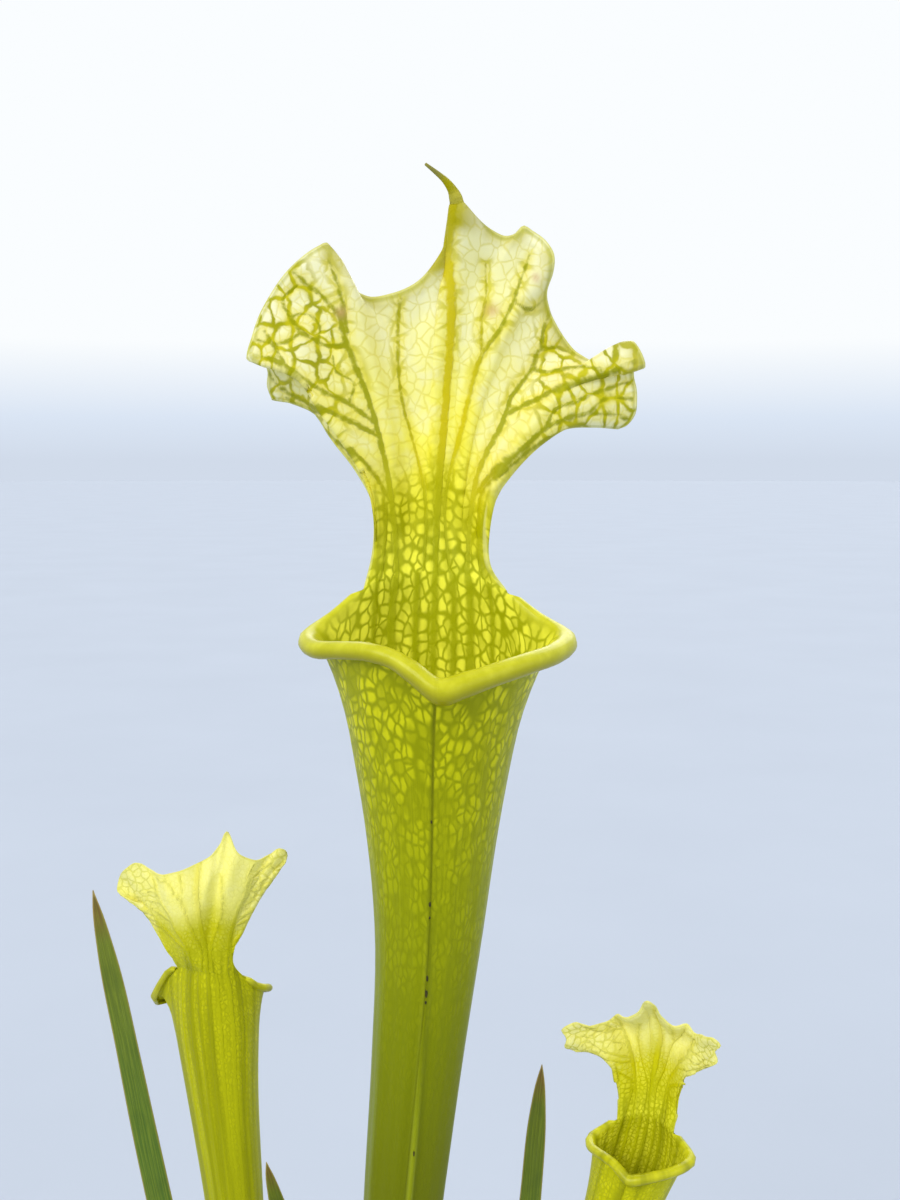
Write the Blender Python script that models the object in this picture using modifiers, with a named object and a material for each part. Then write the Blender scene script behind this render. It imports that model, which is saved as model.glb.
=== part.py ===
"""Trumpet pitcher plant in a plain round nursery pot.

Each leaf, the rhizome, the potting mix and the pot are separate solids.
The origin is the centre of the pot's flat underside, +Z is up and the tall
pitcher's mouth faces -Y. The lists below hold millimetres; MM turns them into
the metres that the meshes are built in.
"""

import math
from collections import namedtuple

import bpy
import numpy as np
from mathutils import Matrix, Vector

MM = 0.001
GAP = 0.3  # clearance between neighbouring solids

# Pot: a tapered shell with a collar round its top and drain holes in its floor.
POT_HEIGHT = 125.0
POT_BASE_RADIUS = 52.0
POT_TOP_RADIUS = 67.0
POT_WALL = 2.0
COLLAR_HEIGHT = 17.0
COLLAR_STEP = 3.0
RIM_ROUND = 1.2
POT_STEPS = 48
DRAIN_HOLES = 6
DRAIN_HOLE_RADIUS = 4.0
DRAIN_CIRCLE_RADIUS = 36.0

# Potting mix: its top is a low mound, below the rim of the pot.
MIX_EDGE_HEIGHT = 112.5
MIX_MOUND_HEIGHT = 116.0
MIX_EDGE_ROUND = 2.0

# Rhizome: a squat horizontal stem, half sunk in the mix.
RHIZOME_CENTRE = (-5.0, 4.0, 115.5)
RHIZOME_HALF = (31.0, 20.0, 9.5)
BOSS_TOP = 126.0  # leaf bases stand on bosses of this height
BOSS_MARGIN = 0.5  # a boss is this much wider than its leaf base
BOSS_STEP = 0.02  # each is a little wider than the last, so that no two match
LEAF_FOOT = BOSS_TOP + GAP

# Tube of the tall pitcher: (height, centre x, centre y, half width, half depth).
TALL_TUBE = [
    (LEAF_FOOT, -6.0, 0.0, 3.7, 3.5),
    (145, -3.4, 1.0, 4.8, 4.4),
    (170, 0.2, 2.2, 6.2, 5.6),
    (205, 4.8, 3.4, 8.0, 7.2),
    (240, 8.8, 4.0, 9.6, 8.8),
    (272, 11.8, 4.0, 10.8, 10.0),
    (305, 15.0, 3.6, 12.0, 11.2),
    (337, 17.9, 2.8, 13.8, 12.8),
    (368, 18.9, 1.8, 17.2, 15.2),
    (389, 19.2, 0.8, 20.7, 17.6),
    (412, 20.0, 0.0, 25.5, 21.5),
]
# Tubes of the smaller pitchers, in the same terms.
YOUNG_TUBE = [
    (LEAF_FOOT, -22.0, 11.0, 2.6, 2.5),
    (170, -27.0, 12.0, 4.4, 4.0),
    (215, -32.0, 13.5, 6.4, 5.8),
    (261, -35.6, 15.0, 8.0, 7.4),
    (291, -37.2, 16.0, 9.6, 8.6),
    (318, -38.2, 17.0, 12.0, 10.0),
]
SHORT_TUBE = [
    (LEAF_FOOT, 11.0, -4.5, 2.6, 2.5),
    (160, 23.0, -5.0, 4.2, 3.9),
    (200, 40.0, -3.5, 6.0, 5.6),
    (235, 57.0, -1.0, 7.8, 7.2),
    (262, 68.0, 2.0, 9.6, 8.6),
    (278, 73.5, 4.0, 11.8, 10.0),
]

# How the sheet of a pitcher is divided: columns round the front of the tube, columns
# across the lid, rows up the tube, rows up the lid and steps round the lip.
Divisions = namedtuple("Divisions", "front lid tube_rows lid_rows lip")
FINE = Divisions(14, 24, 13, 9, 4)
COARSE = Divisions(10, 16, 9, 6, 3)

# Each pitcher: its tube, its head's scale in X, Y and Z, the way its mouth turns from
# -Y in degrees, and its divisions.
PITCHERS = {
    "tall_pitcher": (TALL_TUBE, ((1.0, 1.0, 1.0), 0), FINE),
    "young_pitcher": (YOUNG_TUBE, ((0.46, 0.46, 0.38), 180), COARSE),
    "short_pitcher": (SHORT_TUBE, ((0.42, 0.42, 0.34), -24), COARSE),
}

# Rim of the mouth, round the middle of its rolled lip: angle from the front in
# degrees, radius, and height over the mouth's centre. It dips to a spout in front.
RIM = [
    (-180, 21.5, 17.5),
    (-150, 21.5, 16.5),
    (-124, 23.0, 14.0),
    (-108, 27.5, 7.5),
    (-90, 32.0, 2.8),
    (-75, 30.6, 1.4),
    (-58, 26.8, 2.0),
    (-39, 24.6, 2.2),
    (-23, 24.2, 0.8),
    (-10, 25.4, -2.2),
    (2, 27.0, -5.8),
    (15, 26.9, -4.4),
    (35, 26.7, -2.2),
    (53, 28.2, -0.6),
    (73, 30.6, 0.6),
    (90, 32.4, 2.4),
    (108, 27.0, 7.0),
    (124, 22.4, 13.0),
    (150, 21.0, 16.0),
    (180, 21.5, 17.5),
]
NECK_ANGLE = 124.0  # the neck joins the rim between this angle and the back
LIP_RADIUS = [(0, 2.7), (15, 2.4), (40, 1.9), (90, 1.8), (108, 1.0), (NECK_ANGLE, 0.15)]
LIP_TILT = math.radians(55)  # slope of the wall where the lip starts to roll
LIP_TURN = math.radians(235)

# Edges of the neck and of the lid's underside, from the rim out to the lower lobes.
NECK_LEFT = [
    (-16.8, 17.0, 21.5),
    (-16.0, 18.5, 29.0),
    (-16.6, 19.0, 36.0),
    (-20.7, 19.5, 44.0),
    (-27.4, 20.0, 52.7),
    (-35.0, 22.0, 60.3),
]
NECK_RIGHT = [
    (13.8, 17.0, 19.0),
    (12.8, 18.5, 28.0),
    (14.0, 19.0, 36.0),
    (19.1, 19.5, 44.4),
    (27.0, 20.0, 51.8),
    (37.0, 22.0, 55.5),
]
# Free edge of the lid, from its lower left lobe over the top to its lower right one.
LID_EDGE = [
    (-43.5, 24, 63.2),
    (-44.4, 22, 67.0),
    (-43.8, 17, 71.6),
    (-47.9, 12, 72.8),
    (-46.5, 14, 79.0),
    (-41.0, 18, 92.0),
    (-29.2, 17, 101.5),
    (-27.0, 20, 98.5),
    (-23.0, 24, 92.6),
    (-15.0, 27, 90.0),
    (-5.0, 25, 93.6),
    (0.5, 22, 99.5),
    (2.7, 20, 107.0),
    (5.3, 18, 112.0),
    (10.5, 20, 108.5),
    (17.5, 23, 105.0),
    (23.3, 20, 107.0),
    (28.5, 19, 103.0),
    (30.4, 20, 98.0),
    (28.6, 24, 91.5),
    (30.5, 26, 84.0),
    (39.4, 27, 73.6),
    (44.5, 24, 72.0),
    (50.6, 14, 77.4),
    (53.5, 12, 71.4),
    (51.4, 17, 69.5),
    (52.2, 20, 63.0),
    (51.4, 22, 57.6),
    (47.5, 23, 55.4),
]
LID_TOP = 13  # index of the point that carries the tip
LID_TIP = (-8.0, -10.0, 8.0)  # the pointed tip, from that point

# Sheet of a pitcher.
LEAF_THICKNESS = 1.0
KEEL_HEIGHT = 2.6  # the seam down the front of a tube
FLARE_START = 0.93  # share of the tube's height where it starts to flare

# Sword leaves: points of the midline, then half width at the broadest part.
SWORD_LEAVES = {
    "sword_leaf_left": ([(-27.5, 8.5), (-46, 20), (-62, 28), (-76, 31)], (340, 3.6)),
    "sword_leaf_right": ([(17, 8), (32, 16), (44, 26), (50, 38)], (286, 3.4)),
    "sword_leaf_back": ([(-9, 17), (-13, 30), (-20, 40), (-31, 46)], (252, 3.2)),
}
SWORD_SIDES = 8
SWORD_ROWS = 14

# Unopened spear: a closed young pitcher, (x, y, z, radius).
SPEAR = [
    (5.5, 10.5, LEAF_FOOT, 2.1),
    (7.3, 13.6, 160, 2.6),
    (10.6, 18.0, 195, 3.5),
    (12.4, 20.4, 218, 4.2),
    (13.0, 21.3, 232, 3.0),
    (13.0, 21.6, 244, 0.9),
]

# Trimmed old leaf bases: (x, y, foot height, lean x, lean y, height, radius).
STUBS = [
    (-18.0, -5.5, LEAF_FOOT, -2.5, -3.0, 17, 3.0),
    (-28.5, 2.0, LEAF_FOOT, -5.0, 0.5, 12, 2.6),
    (3.0, -9.0, LEAF_FOOT, 0.5, -4.0, 14, 2.6),
]

COLOURS = {
    "pot": ((0.035, 0.037, 0.040), 0.45),
    "mix": ((0.045, 0.028, 0.018), 0.95),
    "rhizome": ((0.16, 0.07, 0.035), 0.7),
    "pitcher": ((0.36, 0.42, 0.03), 0.4),
    "sword": ((0.16, 0.27, 0.04), 0.45),
    "dry": ((0.27, 0.16, 0.08), 0.85),
}


# ---------------------------------------------------------------- small helpers
def clear_scene():
    for old in list(bpy.data.objects):
        bpy.data.objects.remove(old, do_unlink=True)


def collection(name):
    made = bpy.data.collections.new(name)
    bpy.context.scene.collection.children.link(made)
    return made


def material(name):
    colour, roughness = COLOURS[name]
    made = bpy.data.materials.new(name)
    made.use_nodes = True
    shader = made.node_tree.nodes["Principled BSDF"]
    shader.inputs["Base Color"].default_value = (*colour, 1.0)
    shader.inputs["Roughness"].default_value = roughness
    return made


def put(obj, where, finish=None):
    """Links an object to a collection and gives it its material."""
    for old in list(obj.users_collection):
        old.objects.unlink(obj)
    where.objects.link(obj)
    if finish:
        obj.data.materials.append(finish)
    return obj


def mesh_object(name, points, faces, where, finish=None):
    """A mesh object from points in millimetres."""
    mesh = bpy.data.meshes.new(name)
    mesh.from_pydata([Vector(p) * MM for p in points], [], faces)
    mesh.update()
    mesh.shade_smooth()
    return put(bpy.data.objects.new(name, mesh), where, finish)


def as_cutter(obj):
    obj.hide_render = True
    obj.display_type = "WIRE"
    return obj


def boolean(obj, other, operation):
    modifier = obj.modifiers.new(f"{operation.lower()}_{other.name}", "BOOLEAN")
    modifier.object = other
    modifier.operation = operation
    modifier.solver = "EXACT"


def through(keys, values, at):
    """A smooth curve through values at keys, read at the places at."""
    keys = np.asarray(keys, float)
    values = np.asarray(values, float)
    at = np.asarray(at, float)
    slope = np.gradient(values, keys, axis=0)
    i = np.clip(np.searchsorted(keys, at, side="right") - 1, 0, len(keys) - 2)
    step = keys[i + 1] - keys[i]
    t = (at - keys[i]) / step
    if values.ndim > 1:
        t, step = t[..., None], step[..., None]
    return (
        values[i] * (1 + 2 * t) * (1 - t) ** 2
        + slope[i] * step * t * (1 - t) ** 2
        + values[i + 1] * t * t * (3 - 2 * t)
        + slope[i + 1] * step * t * t * (t - 1)
    )


def lengthwise(points):
    """Keys from 0 to 1 along a chain of points, by its length."""
    steps = np.linalg.norm(np.diff(np.asarray(points, float), axis=0), axis=1)
    keys = np.concatenate([[0], np.cumsum(steps)])
    return keys / keys[-1]


def ease(t):
    t = np.clip(t, 0, 1)
    return t * t * (3 - 2 * t)


# ---------------------------------------------------------------- pitcher leaves
class Head:
    """Rim, neck and lid round the top of a tube, scaled from the tall pitcher's."""

    def __init__(self, tube, scale, facing):
        top = tube[-1]
        self.centre = np.array([top[1], top[2], top[0]], float)
        self.scale = np.asarray(scale, float)
        self.turn = np.array(Matrix.Rotation(math.radians(facing), 3, "Z"))
        self.lip_scale = min(scale[0] * 1.3, 1.0)

    def place(self, local):
        return (np.asarray(local, float) * self.scale) @ self.turn.T + self.centre

    def wall_end(self, angles):
        """Where the wall stops and the lip starts, with the two directions it rolls in."""
        keys, radius, height = np.array(RIM).T
        radius = through(keys, radius, angles)
        height = through(keys, height, angles)
        lip = self.lip_radius(angles) / self.scale[0]
        a = np.radians(angles)
        out = np.stack([np.sin(a), -np.cos(a), np.zeros_like(a)], axis=1)
        up = np.array([0, 0, 1.0])
        along = math.cos(LIP_TILT) * out + math.sin(LIP_TILT) * up
        away = math.sin(LIP_TILT) * out - math.cos(LIP_TILT) * up
        start = out * radius[:, None] + up * height[:, None] - away * lip[:, None]
        return start, along, away

    def lip_radius(self, angles):
        keys, radius = np.array(LIP_RADIUS, float).T
        return np.interp(np.abs(angles), keys, radius) * self.lip_scale


def lid_places(columns):
    """Shares from 0 to 1 across the lid, with three columns close together at its tip."""
    top = lengthwise(LID_EDGE)[LID_TOP]
    half = columns // 2
    left = np.linspace(0, top - 0.022, half)
    right = np.linspace(top + 0.022, 1, half)
    return np.concatenate([left, [top], right]), half


def lid_sheet(head, divisions):
    """Rows of points from the back of the rim, up the neck and out to the lid's edge."""
    across, middle = lid_places(divisions.lid)
    angles = -NECK_ANGLE - across * (360 - 2 * NECK_ANGLE)
    angles = np.where(angles < -180, angles + 360, angles)
    foot, _, _ = head.wall_end(angles)
    left = np.array([foot[0], *NECK_LEFT, LID_EDGE[0]])
    right = np.array([foot[-1], *NECK_RIGHT, LID_EDGE[-1]])
    edge = through(lengthwise(LID_EDGE), LID_EDGE, across)
    s = across[:, None]
    rows = []
    for b in np.linspace(0, 1, divisions.lid_rows + 1):
        sides = (1 - s) * through(lengthwise(left), left, b) + s * through(
            lengthwise(right), right, b
        )
        low = foot - ((1 - s) * foot[0] + s * foot[-1])
        high = edge - ((1 - s) * edge[0] + s * edge[-1])
        row = sides + (1 - b) * low + b * high
        row[middle] += np.array(LID_TIP) * ease((b - 0.85) / 0.15)
        rows.append(row)
    return angles, [head.place(row) for row in rows]


def tube_rows(tube, head, angles, divisions):
    """Rows of points up the tube to the rim, one point for each angle."""
    tube = np.array(tube, float)
    height, size = tube[:, 0], tube[:, 1:]
    end, _, _ = head.wall_end(angles)
    a = np.radians(angles)
    rows = []
    for v in 1 - (1 - np.linspace(0, 1, divisions.tube_rows + 1)) ** 1.35:
        level = height[0] + (height[-1] - height[0]) * v
        x, y, half_width, half_depth = through(height, size, level)
        local = np.stack(
            [half_width * np.sin(a), -half_depth * np.cos(a), np.zeros_like(a)], axis=1
        )
        ring = local @ head.turn.T + (x, y, level)
        flare = np.clip((v - FLARE_START) / (1 - FLARE_START), 0, 1) ** 2
        rows.append((1 - flare) * ring + flare * head.place(end))
    return rows


def lip_rows(head, angles, divisions):
    """Rows of points that roll outwards from the rim, over the front angles."""
    start, along, away = head.wall_end(angles)
    radius = (head.lip_radius(angles) / head.scale[0])[:, None]
    rows = []
    for turn in np.linspace(0, LIP_TURN, divisions.lip + 1)[1:]:
        roll = radius * ((1 - math.cos(turn)) * away + math.sin(turn) * along)
        rows.append(head.place(start + roll))
    return rows


def pitcher(name, tube, head, divisions, where, finish):
    """One leaf: a tube with a keel, a rolled lip, and the neck and lid at its back."""
    back_angles, lid = lid_sheet(head, divisions)
    front_angles = np.linspace(NECK_ANGLE, -NECK_ANGLE, divisions.front + 1)[1:-1]
    angles = np.concatenate([back_angles, front_angles])
    columns, back = len(angles), len(back_angles)
    points, faces = [], []

    tube_start = []
    for row in tube_rows(tube, head, angles, divisions):
        tube_start.append(len(points))
        points += list(row)
    for low, high in zip(tube_start, tube_start[1:]):
        for i in range(columns):
            j = (i + 1) % columns
            faces.append((low + j, low + i, high + i, high + j))
    faces.append(tuple(range(columns)))

    below = list(range(tube_start[-1], tube_start[-1] + back))
    for row in lid[1:]:
        above = list(range(len(points), len(points) + back))
        points += list(row)
        for i in range(back - 1):
            faces.append((below[i + 1], below[i], above[i], above[i + 1]))
        below = above

    rim = [tube_start[-1] + i for i in [*range(back - 1, columns), 0]]
    rim_angles = np.concatenate([[NECK_ANGLE], front_angles, [-NECK_ANGLE]])
    below = rim
    for row in lip_rows(head, rim_angles, divisions):
        above = [rim[0], *range(len(points), len(points) + len(rim) - 2), rim[-1]]
        points += list(row[1:-1])
        for i in range(len(rim) - 1):
            corner = (below[i + 1], below[i], above[i], above[i + 1])
            faces.append(tuple(dict.fromkeys(corner)))
        below = above

    obj = mesh_object(name, points, faces, where, finish)
    wall = obj.vertex_groups.new(name="thickness")
    wall.add(range(len(points)), LEAF_THICKNESS / KEEL_HEIGHT, "REPLACE")
    front = int(np.argmin(np.abs(angles)))
    wall.add([start + front for start in tube_start[1:-2]], 1.0, "REPLACE")
    shell = obj.modifiers.new("wall", "SOLIDIFY")
    shell.thickness = KEEL_HEIGHT * MM
    shell.vertex_group = wall.name
    shell.offset = -1.0
    return obj


# ---------------------------------------------------------------- other leaves
def sword_leaf(name, midline, top, half_width, where, finish):
    """A flat, keeled blade: rings round a bent midline, drawn to a point."""
    heights = np.linspace(LEAF_FOOT, top, len(midline))
    line = np.column_stack([np.array(midline, float), heights])
    shares = np.linspace(0, 1, SWORD_ROWS)
    centres = through(lengthwise(line), line, shares)
    lean = np.gradient(centres, axis=0)
    lean /= np.linalg.norm(lean, axis=1, keepdims=True)
    width = half_width * through(
        [0, 0.12, 0.45, 0.8, 1], [0.62, 0.66, 1.0, 0.72, 0.06], shares
    )
    depth = through([0, 0.2, 0.6, 1], [2.0, 1.4, 0.9, 0.35], shares)
    turn = 2 * math.pi * np.arange(SWORD_SIDES) / SWORD_SIDES
    points, faces = [], []
    for i, centre in enumerate(centres):
        side = np.cross((0, 1, 0), lean[i])
        side /= np.linalg.norm(side)
        face = np.cross(lean[i], side)
        if i == 0:
            side, face = np.array([1.0, 0, 0]), np.array([0, 1.0, 0])
        for t in turn:
            points.append(
                centre + side * width[i] * math.cos(t) + face * depth[i] * math.sin(t)
            )
    for i in range(SWORD_ROWS - 1):
        low, high = i * SWORD_SIDES, (i + 1) * SWORD_SIDES
        for k in range(SWORD_SIDES):
            n = (k + 1) % SWORD_SIDES
            faces.append((low + k, low + n, high + n, high + k))
    faces.append(tuple(reversed(range(SWORD_SIDES))))
    faces.append(tuple(range(high, high + SWORD_SIDES)))
    return mesh_object(name, points, faces, where, finish)


def tapered_rod(name, line, where, finish):
    """A round rod through (x, y, z, radius) points, with flat ends."""
    curve = bpy.data.curves.new(name, "CURVE")
    curve.dimensions = "3D"
    curve.bevel_depth = MM
    curve.bevel_resolution = 2
    curve.use_fill_caps = True
    spline = curve.splines.new("POLY")
    spline.points.add(len(line) - 1)
    for point, (x, y, z, radius) in zip(spline.points, line):
        point.co = (x * MM, y * MM, z * MM, 1.0)
        point.radius = radius
    return put(bpy.data.objects.new(name, curve), where, finish)


def spear(where, finish):
    line = np.array(SPEAR, float)
    fine = through(lengthwise(line[:, :3]), line, np.linspace(0, 1, 13))
    fine[1, :2] = fine[0, :2]  # its foot stands upright
    return tapered_rod("unopened_spear", fine, where, finish)


def stub(index, where, finish):
    x, y, foot, lean_x, lean_y, tall, radius = STUBS[index]
    line = [
        (x, y, foot, radius * 1.15),
        (x, y, foot + 1.5, radius * 1.1),
        (x + lean_x * 0.4, y + lean_y * 0.4, foot + tall * 0.5, radius),
        (x + lean_x, y + lean_y, foot + tall, radius * 0.95),
    ]
    return tapered_rod(f"trimmed_leaf_base_{index + 1}", line, where, finish)


# ---------------------------------------------------------------- rhizome, mix, pot
def ellipsoid(name, centre, half, where):
    bpy.ops.mesh.primitive_uv_sphere_add(segments=28, ring_count=14, radius=1.0)
    obj = bpy.context.object
    obj.name = name
    obj.scale = Vector(half) * MM
    obj.location = Vector(centre) * MM
    bpy.ops.object.transform_apply(location=False, rotation=False, scale=True)
    obj.data.shade_smooth()
    return put(obj, where)


def cylinder(name, x, y, low, high, radius, sides, where):
    bpy.ops.mesh.primitive_cylinder_add(
        vertices=sides,
        radius=radius * MM,
        depth=(high - low) * MM,
        location=(x * MM, y * MM, (low + high) / 2 * MM),
    )
    obj = bpy.context.object
    obj.name = name
    return put(obj, where)


def leaf_feet():
    """(x, y, radius) of every leaf base that stands on the rhizome."""
    feet = [(t[0][1], t[0][2], t[0][3]) for t in (TALL_TUBE, YOUNG_TUBE, SHORT_TUBE)]
    feet += [(*line[0], width * 0.62) for line, (_, width) in SWORD_LEAVES.values()]
    feet += [(SPEAR[0][0], SPEAR[0][1], SPEAR[0][3])]
    feet += [(s[0], s[1], s[6] * 1.15) for s in STUBS]
    return feet


def rhizome(where, helpers, finish):
    """The crown, with a boss under each leaf."""
    obj = ellipsoid("rhizome", RHIZOME_CENTRE, RHIZOME_HALF, where)
    obj.data.materials.append(finish)
    for i, (x, y, radius) in enumerate(leaf_feet()):
        wide = radius + BOSS_MARGIN + BOSS_STEP * i
        boss = cylinder(f"boss_{i}", x, y, RHIZOME_CENTRE[2], BOSS_TOP, wide, 16, helpers)
        boolean(obj, as_cutter(boss), "UNION")
    return obj


def turned(name, profile, where, finish):
    """A closed profile of (radius, height) points turned about Z."""
    mesh = bpy.data.meshes.new(name)
    points = [(r * MM, 0.0, z * MM) for r, z in profile]
    mesh.from_pydata(points, [(i, i + 1) for i in range(len(points) - 1)], [])
    obj = put(bpy.data.objects.new(name, mesh), where, finish)
    screw = obj.modifiers.new("turn", "SCREW")
    screw.steps = screw.render_steps = POT_STEPS
    screw.use_merge_vertices = True
    screw.merge_threshold = 0.00001
    screw.use_smooth_shade = True
    return obj


def pot_radius(z):
    """Outer radius of the pot's tapered wall."""
    return POT_BASE_RADIUS + (POT_TOP_RADIUS - POT_BASE_RADIUS) * z / POT_HEIGHT


def pot(where, helpers, finish):
    collar_foot = POT_HEIGHT - COLLAR_HEIGHT
    floor_radius = pot_radius(POT_WALL) - POT_WALL
    mouth_radius = POT_TOP_RADIUS - POT_WALL
    collar_radius = POT_TOP_RADIUS + COLLAR_STEP
    profile = [
        (0.0, POT_WALL),
        (floor_radius - RIM_ROUND, POT_WALL),
        (floor_radius, POT_WALL + RIM_ROUND),
        (mouth_radius, POT_HEIGHT - RIM_ROUND),
        (mouth_radius + RIM_ROUND, POT_HEIGHT),
        (collar_radius - RIM_ROUND, POT_HEIGHT),
        (collar_radius, POT_HEIGHT - RIM_ROUND),
        (pot_radius(collar_foot) + COLLAR_STEP, collar_foot + RIM_ROUND / 2),
        (pot_radius(collar_foot) + COLLAR_STEP - RIM_ROUND / 2, collar_foot),
        (pot_radius(collar_foot), collar_foot),
        (pot_radius(RIM_ROUND), RIM_ROUND),
        (POT_BASE_RADIUS - RIM_ROUND, 0.0),
        (0.0, 0.0),
    ]
    obj = turned("pot", profile, where, finish)
    for i in range(DRAIN_HOLES):
        a = 2 * math.pi * (i + 0.5) / DRAIN_HOLES
        hole = cylinder(
            f"drain_{i}",
            DRAIN_CIRCLE_RADIUS * math.cos(a),
            DRAIN_CIRCLE_RADIUS * math.sin(a),
            -POT_WALL,
            POT_WALL * 2,
            DRAIN_HOLE_RADIUS,
            16,
            helpers,
        )
        boolean(obj, as_cutter(hole), "DIFFERENCE")
    return obj


def potting_mix(where, helpers, finish):
    """The mix fills the pot below its rim, hollowed where the rhizome sits in it."""

    def inside(z):
        return pot_radius(z) - POT_WALL - 2 * GAP

    foot = POT_WALL + GAP
    edge = inside(MIX_EDGE_HEIGHT)
    profile = [(0.0, MIX_MOUND_HEIGHT)]
    for share in (0.4, 0.7, 0.97):
        drop = (MIX_MOUND_HEIGHT - MIX_EDGE_HEIGHT) * share**2
        profile.append((edge * share, MIX_MOUND_HEIGHT - drop))
    profile += [
        (edge, MIX_EDGE_HEIGHT - MIX_EDGE_ROUND),
        (inside(foot + MIX_EDGE_ROUND), foot + MIX_EDGE_ROUND),
        (inside(foot) - MIX_EDGE_ROUND, foot),
        (0.0, foot),
    ]
    obj = turned("potting_mix", profile, where, finish)
    half = [h + GAP for h in RHIZOME_HALF]
    bed = ellipsoid("rhizome_bed", RHIZOME_CENTRE, half, helpers)
    boolean(obj, as_cutter(bed), "DIFFERENCE")
    return obj


def main():
    clear_scene()
    plant = collection("potted_pitcher_plant")
    helpers = collection("cutters")
    finish = {name: material(name) for name in COLOURS}

    pot(plant, helpers, finish["pot"])
    potting_mix(plant, helpers, finish["mix"])
    rhizome(plant, helpers, finish["rhizome"])

    for name, (tube, head, divisions) in PITCHERS.items():
        pitcher(name, tube, Head(tube, *head), divisions, plant, finish["pitcher"])

    for name, (midline, (top, half_width)) in SWORD_LEAVES.items():
        sword_leaf(name, midline, top, half_width, plant, finish["sword"])
    spear(plant, finish["sword"])
    for index in range(len(STUBS)):
        stub(index, plant, finish["dry"])


main()
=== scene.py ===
"""Trumpet pitcher plant in a plain nursery pot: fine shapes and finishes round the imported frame.

Lists of the plant's shape hold millimetres and MM turns them into metres. A pitcher's
head is drawn round its mouth's centre, as if the mouth faced -Y.
"""

import math

import bmesh
import bpy
import numpy as np
from mathutils import Matrix, Vector, noise


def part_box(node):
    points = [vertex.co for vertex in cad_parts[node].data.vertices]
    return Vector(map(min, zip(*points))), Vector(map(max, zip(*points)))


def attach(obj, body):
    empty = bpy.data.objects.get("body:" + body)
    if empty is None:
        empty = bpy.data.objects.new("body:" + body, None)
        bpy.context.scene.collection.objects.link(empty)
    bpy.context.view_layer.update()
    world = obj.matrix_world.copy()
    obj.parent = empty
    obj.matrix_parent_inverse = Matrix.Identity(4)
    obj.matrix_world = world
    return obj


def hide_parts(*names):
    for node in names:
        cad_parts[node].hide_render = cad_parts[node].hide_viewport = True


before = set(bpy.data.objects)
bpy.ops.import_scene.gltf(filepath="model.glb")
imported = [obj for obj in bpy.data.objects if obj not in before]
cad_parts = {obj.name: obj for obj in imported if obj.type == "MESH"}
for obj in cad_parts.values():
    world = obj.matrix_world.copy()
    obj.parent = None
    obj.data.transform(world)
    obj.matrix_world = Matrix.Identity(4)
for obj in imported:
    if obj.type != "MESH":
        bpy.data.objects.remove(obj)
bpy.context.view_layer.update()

MM = 0.001
BODY = "root"

# ---------------------------------------------------------------- shape of the leaves
LEAF_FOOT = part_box("tall_pitcher")[0].z / MM

# Tubes: (height, centre x, centre y, half width, half depth).
TALL_TUBE = [
    (LEAF_FOOT, -6.0, 0.0, 3.7, 3.5), (145, -3.4, 1.0, 4.8, 4.4), (170, 0.2, 2.2, 6.2, 5.6),
    (205, 4.8, 3.4, 8.0, 7.2), (240, 8.8, 4.0, 9.6, 8.8), (272, 11.8, 4.0, 10.8, 10.0),
    (305, 15.0, 3.6, 12.0, 11.2), (337, 17.9, 2.8, 13.8, 12.8), (368, 18.9, 1.8, 17.2, 15.2),
    (389, 19.2, 0.8, 20.7, 17.6), (412, 20.0, 0.0, 25.5, 21.5),
]
YOUNG_TUBE = [
    (LEAF_FOOT, -22.0, 11.0, 2.6, 2.5), (170, -27.0, 12.0, 4.4, 4.0), (215, -32.0, 13.5, 6.4, 5.8),
    (261, -35.6, 15.0, 8.0, 7.4), (291, -38.4, 16.0, 9.8, 8.6), (318, -40.2, 17.0, 12.4, 10.0),
]
SHORT_TUBE = [
    (LEAF_FOOT, 11.0, -4.5, 2.6, 2.5), (160, 23.0, -5.0, 4.2, 3.9), (200, 40.0, -3.5, 6.0, 5.6),
    (235, 57.0, -1.0, 7.8, 7.2), (262, 68.0, 2.0, 9.6, 8.6), (278, 73.5, 4.0, 11.8, 10.0),
]

# Rim of the mouth along the middle of its lip: angle from the front, radius, height.
RIM = [
    (-180, 21.5, 17.5), (-150, 21.5, 16.5), (-124, 23.0, 14.0), (-108, 27.5, 7.5), (-90, 32.0, 2.8),
    (-75, 30.6, 1.4), (-58, 26.8, 2.0), (-39, 24.6, 2.2), (-23, 24.2, 0.8), (-10, 25.4, -2.2),
    (2, 27.0, -5.8), (15, 26.9, -4.4), (35, 26.7, -2.2), (53, 28.2, -0.6), (73, 30.6, 0.6),
    (90, 32.4, 2.4), (108, 27.0, 7.0), (124, 22.4, 13.0), (150, 21.0, 16.0), (180, 21.5, 17.5),
]
# The young pitcher's rim sinks farther in front: angle, share of the radius, drop.
YOUNG_RIM = [
    (-180, 1.0, -2), (-150, 1.0, -1), (-124, 1.0, 0), (-108, 1.0, 3), (-90, 1.0, 4), (-70, 0.96, 8),
    (-45, 0.9, 13), (0, 0.86, 18), (45, 0.9, 16), (75, 0.97, 14), (90, 1.08, 12), (97, 1.06, 5),
    (108, 1.0, -6), (124, 1.0, -6), (150, 1.0, -4), (180, 1.0, -2),
]
NECK_ANGLE = 124.0
LIP_RADIUS = [
    (-NECK_ANGLE, 0.25), (-108, 0.8), (-90, 1.55), (-60, 1.45), (-25, 1.6), (-8, 2.4), (6, 2.65),
    (25, 2.1), (60, 1.85), (90, 2.05), (108, 1.0), (NECK_ANGLE, 0.25),
]
LIP_TILT = math.radians(55)
LIP_TURN = math.radians(265)

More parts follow.
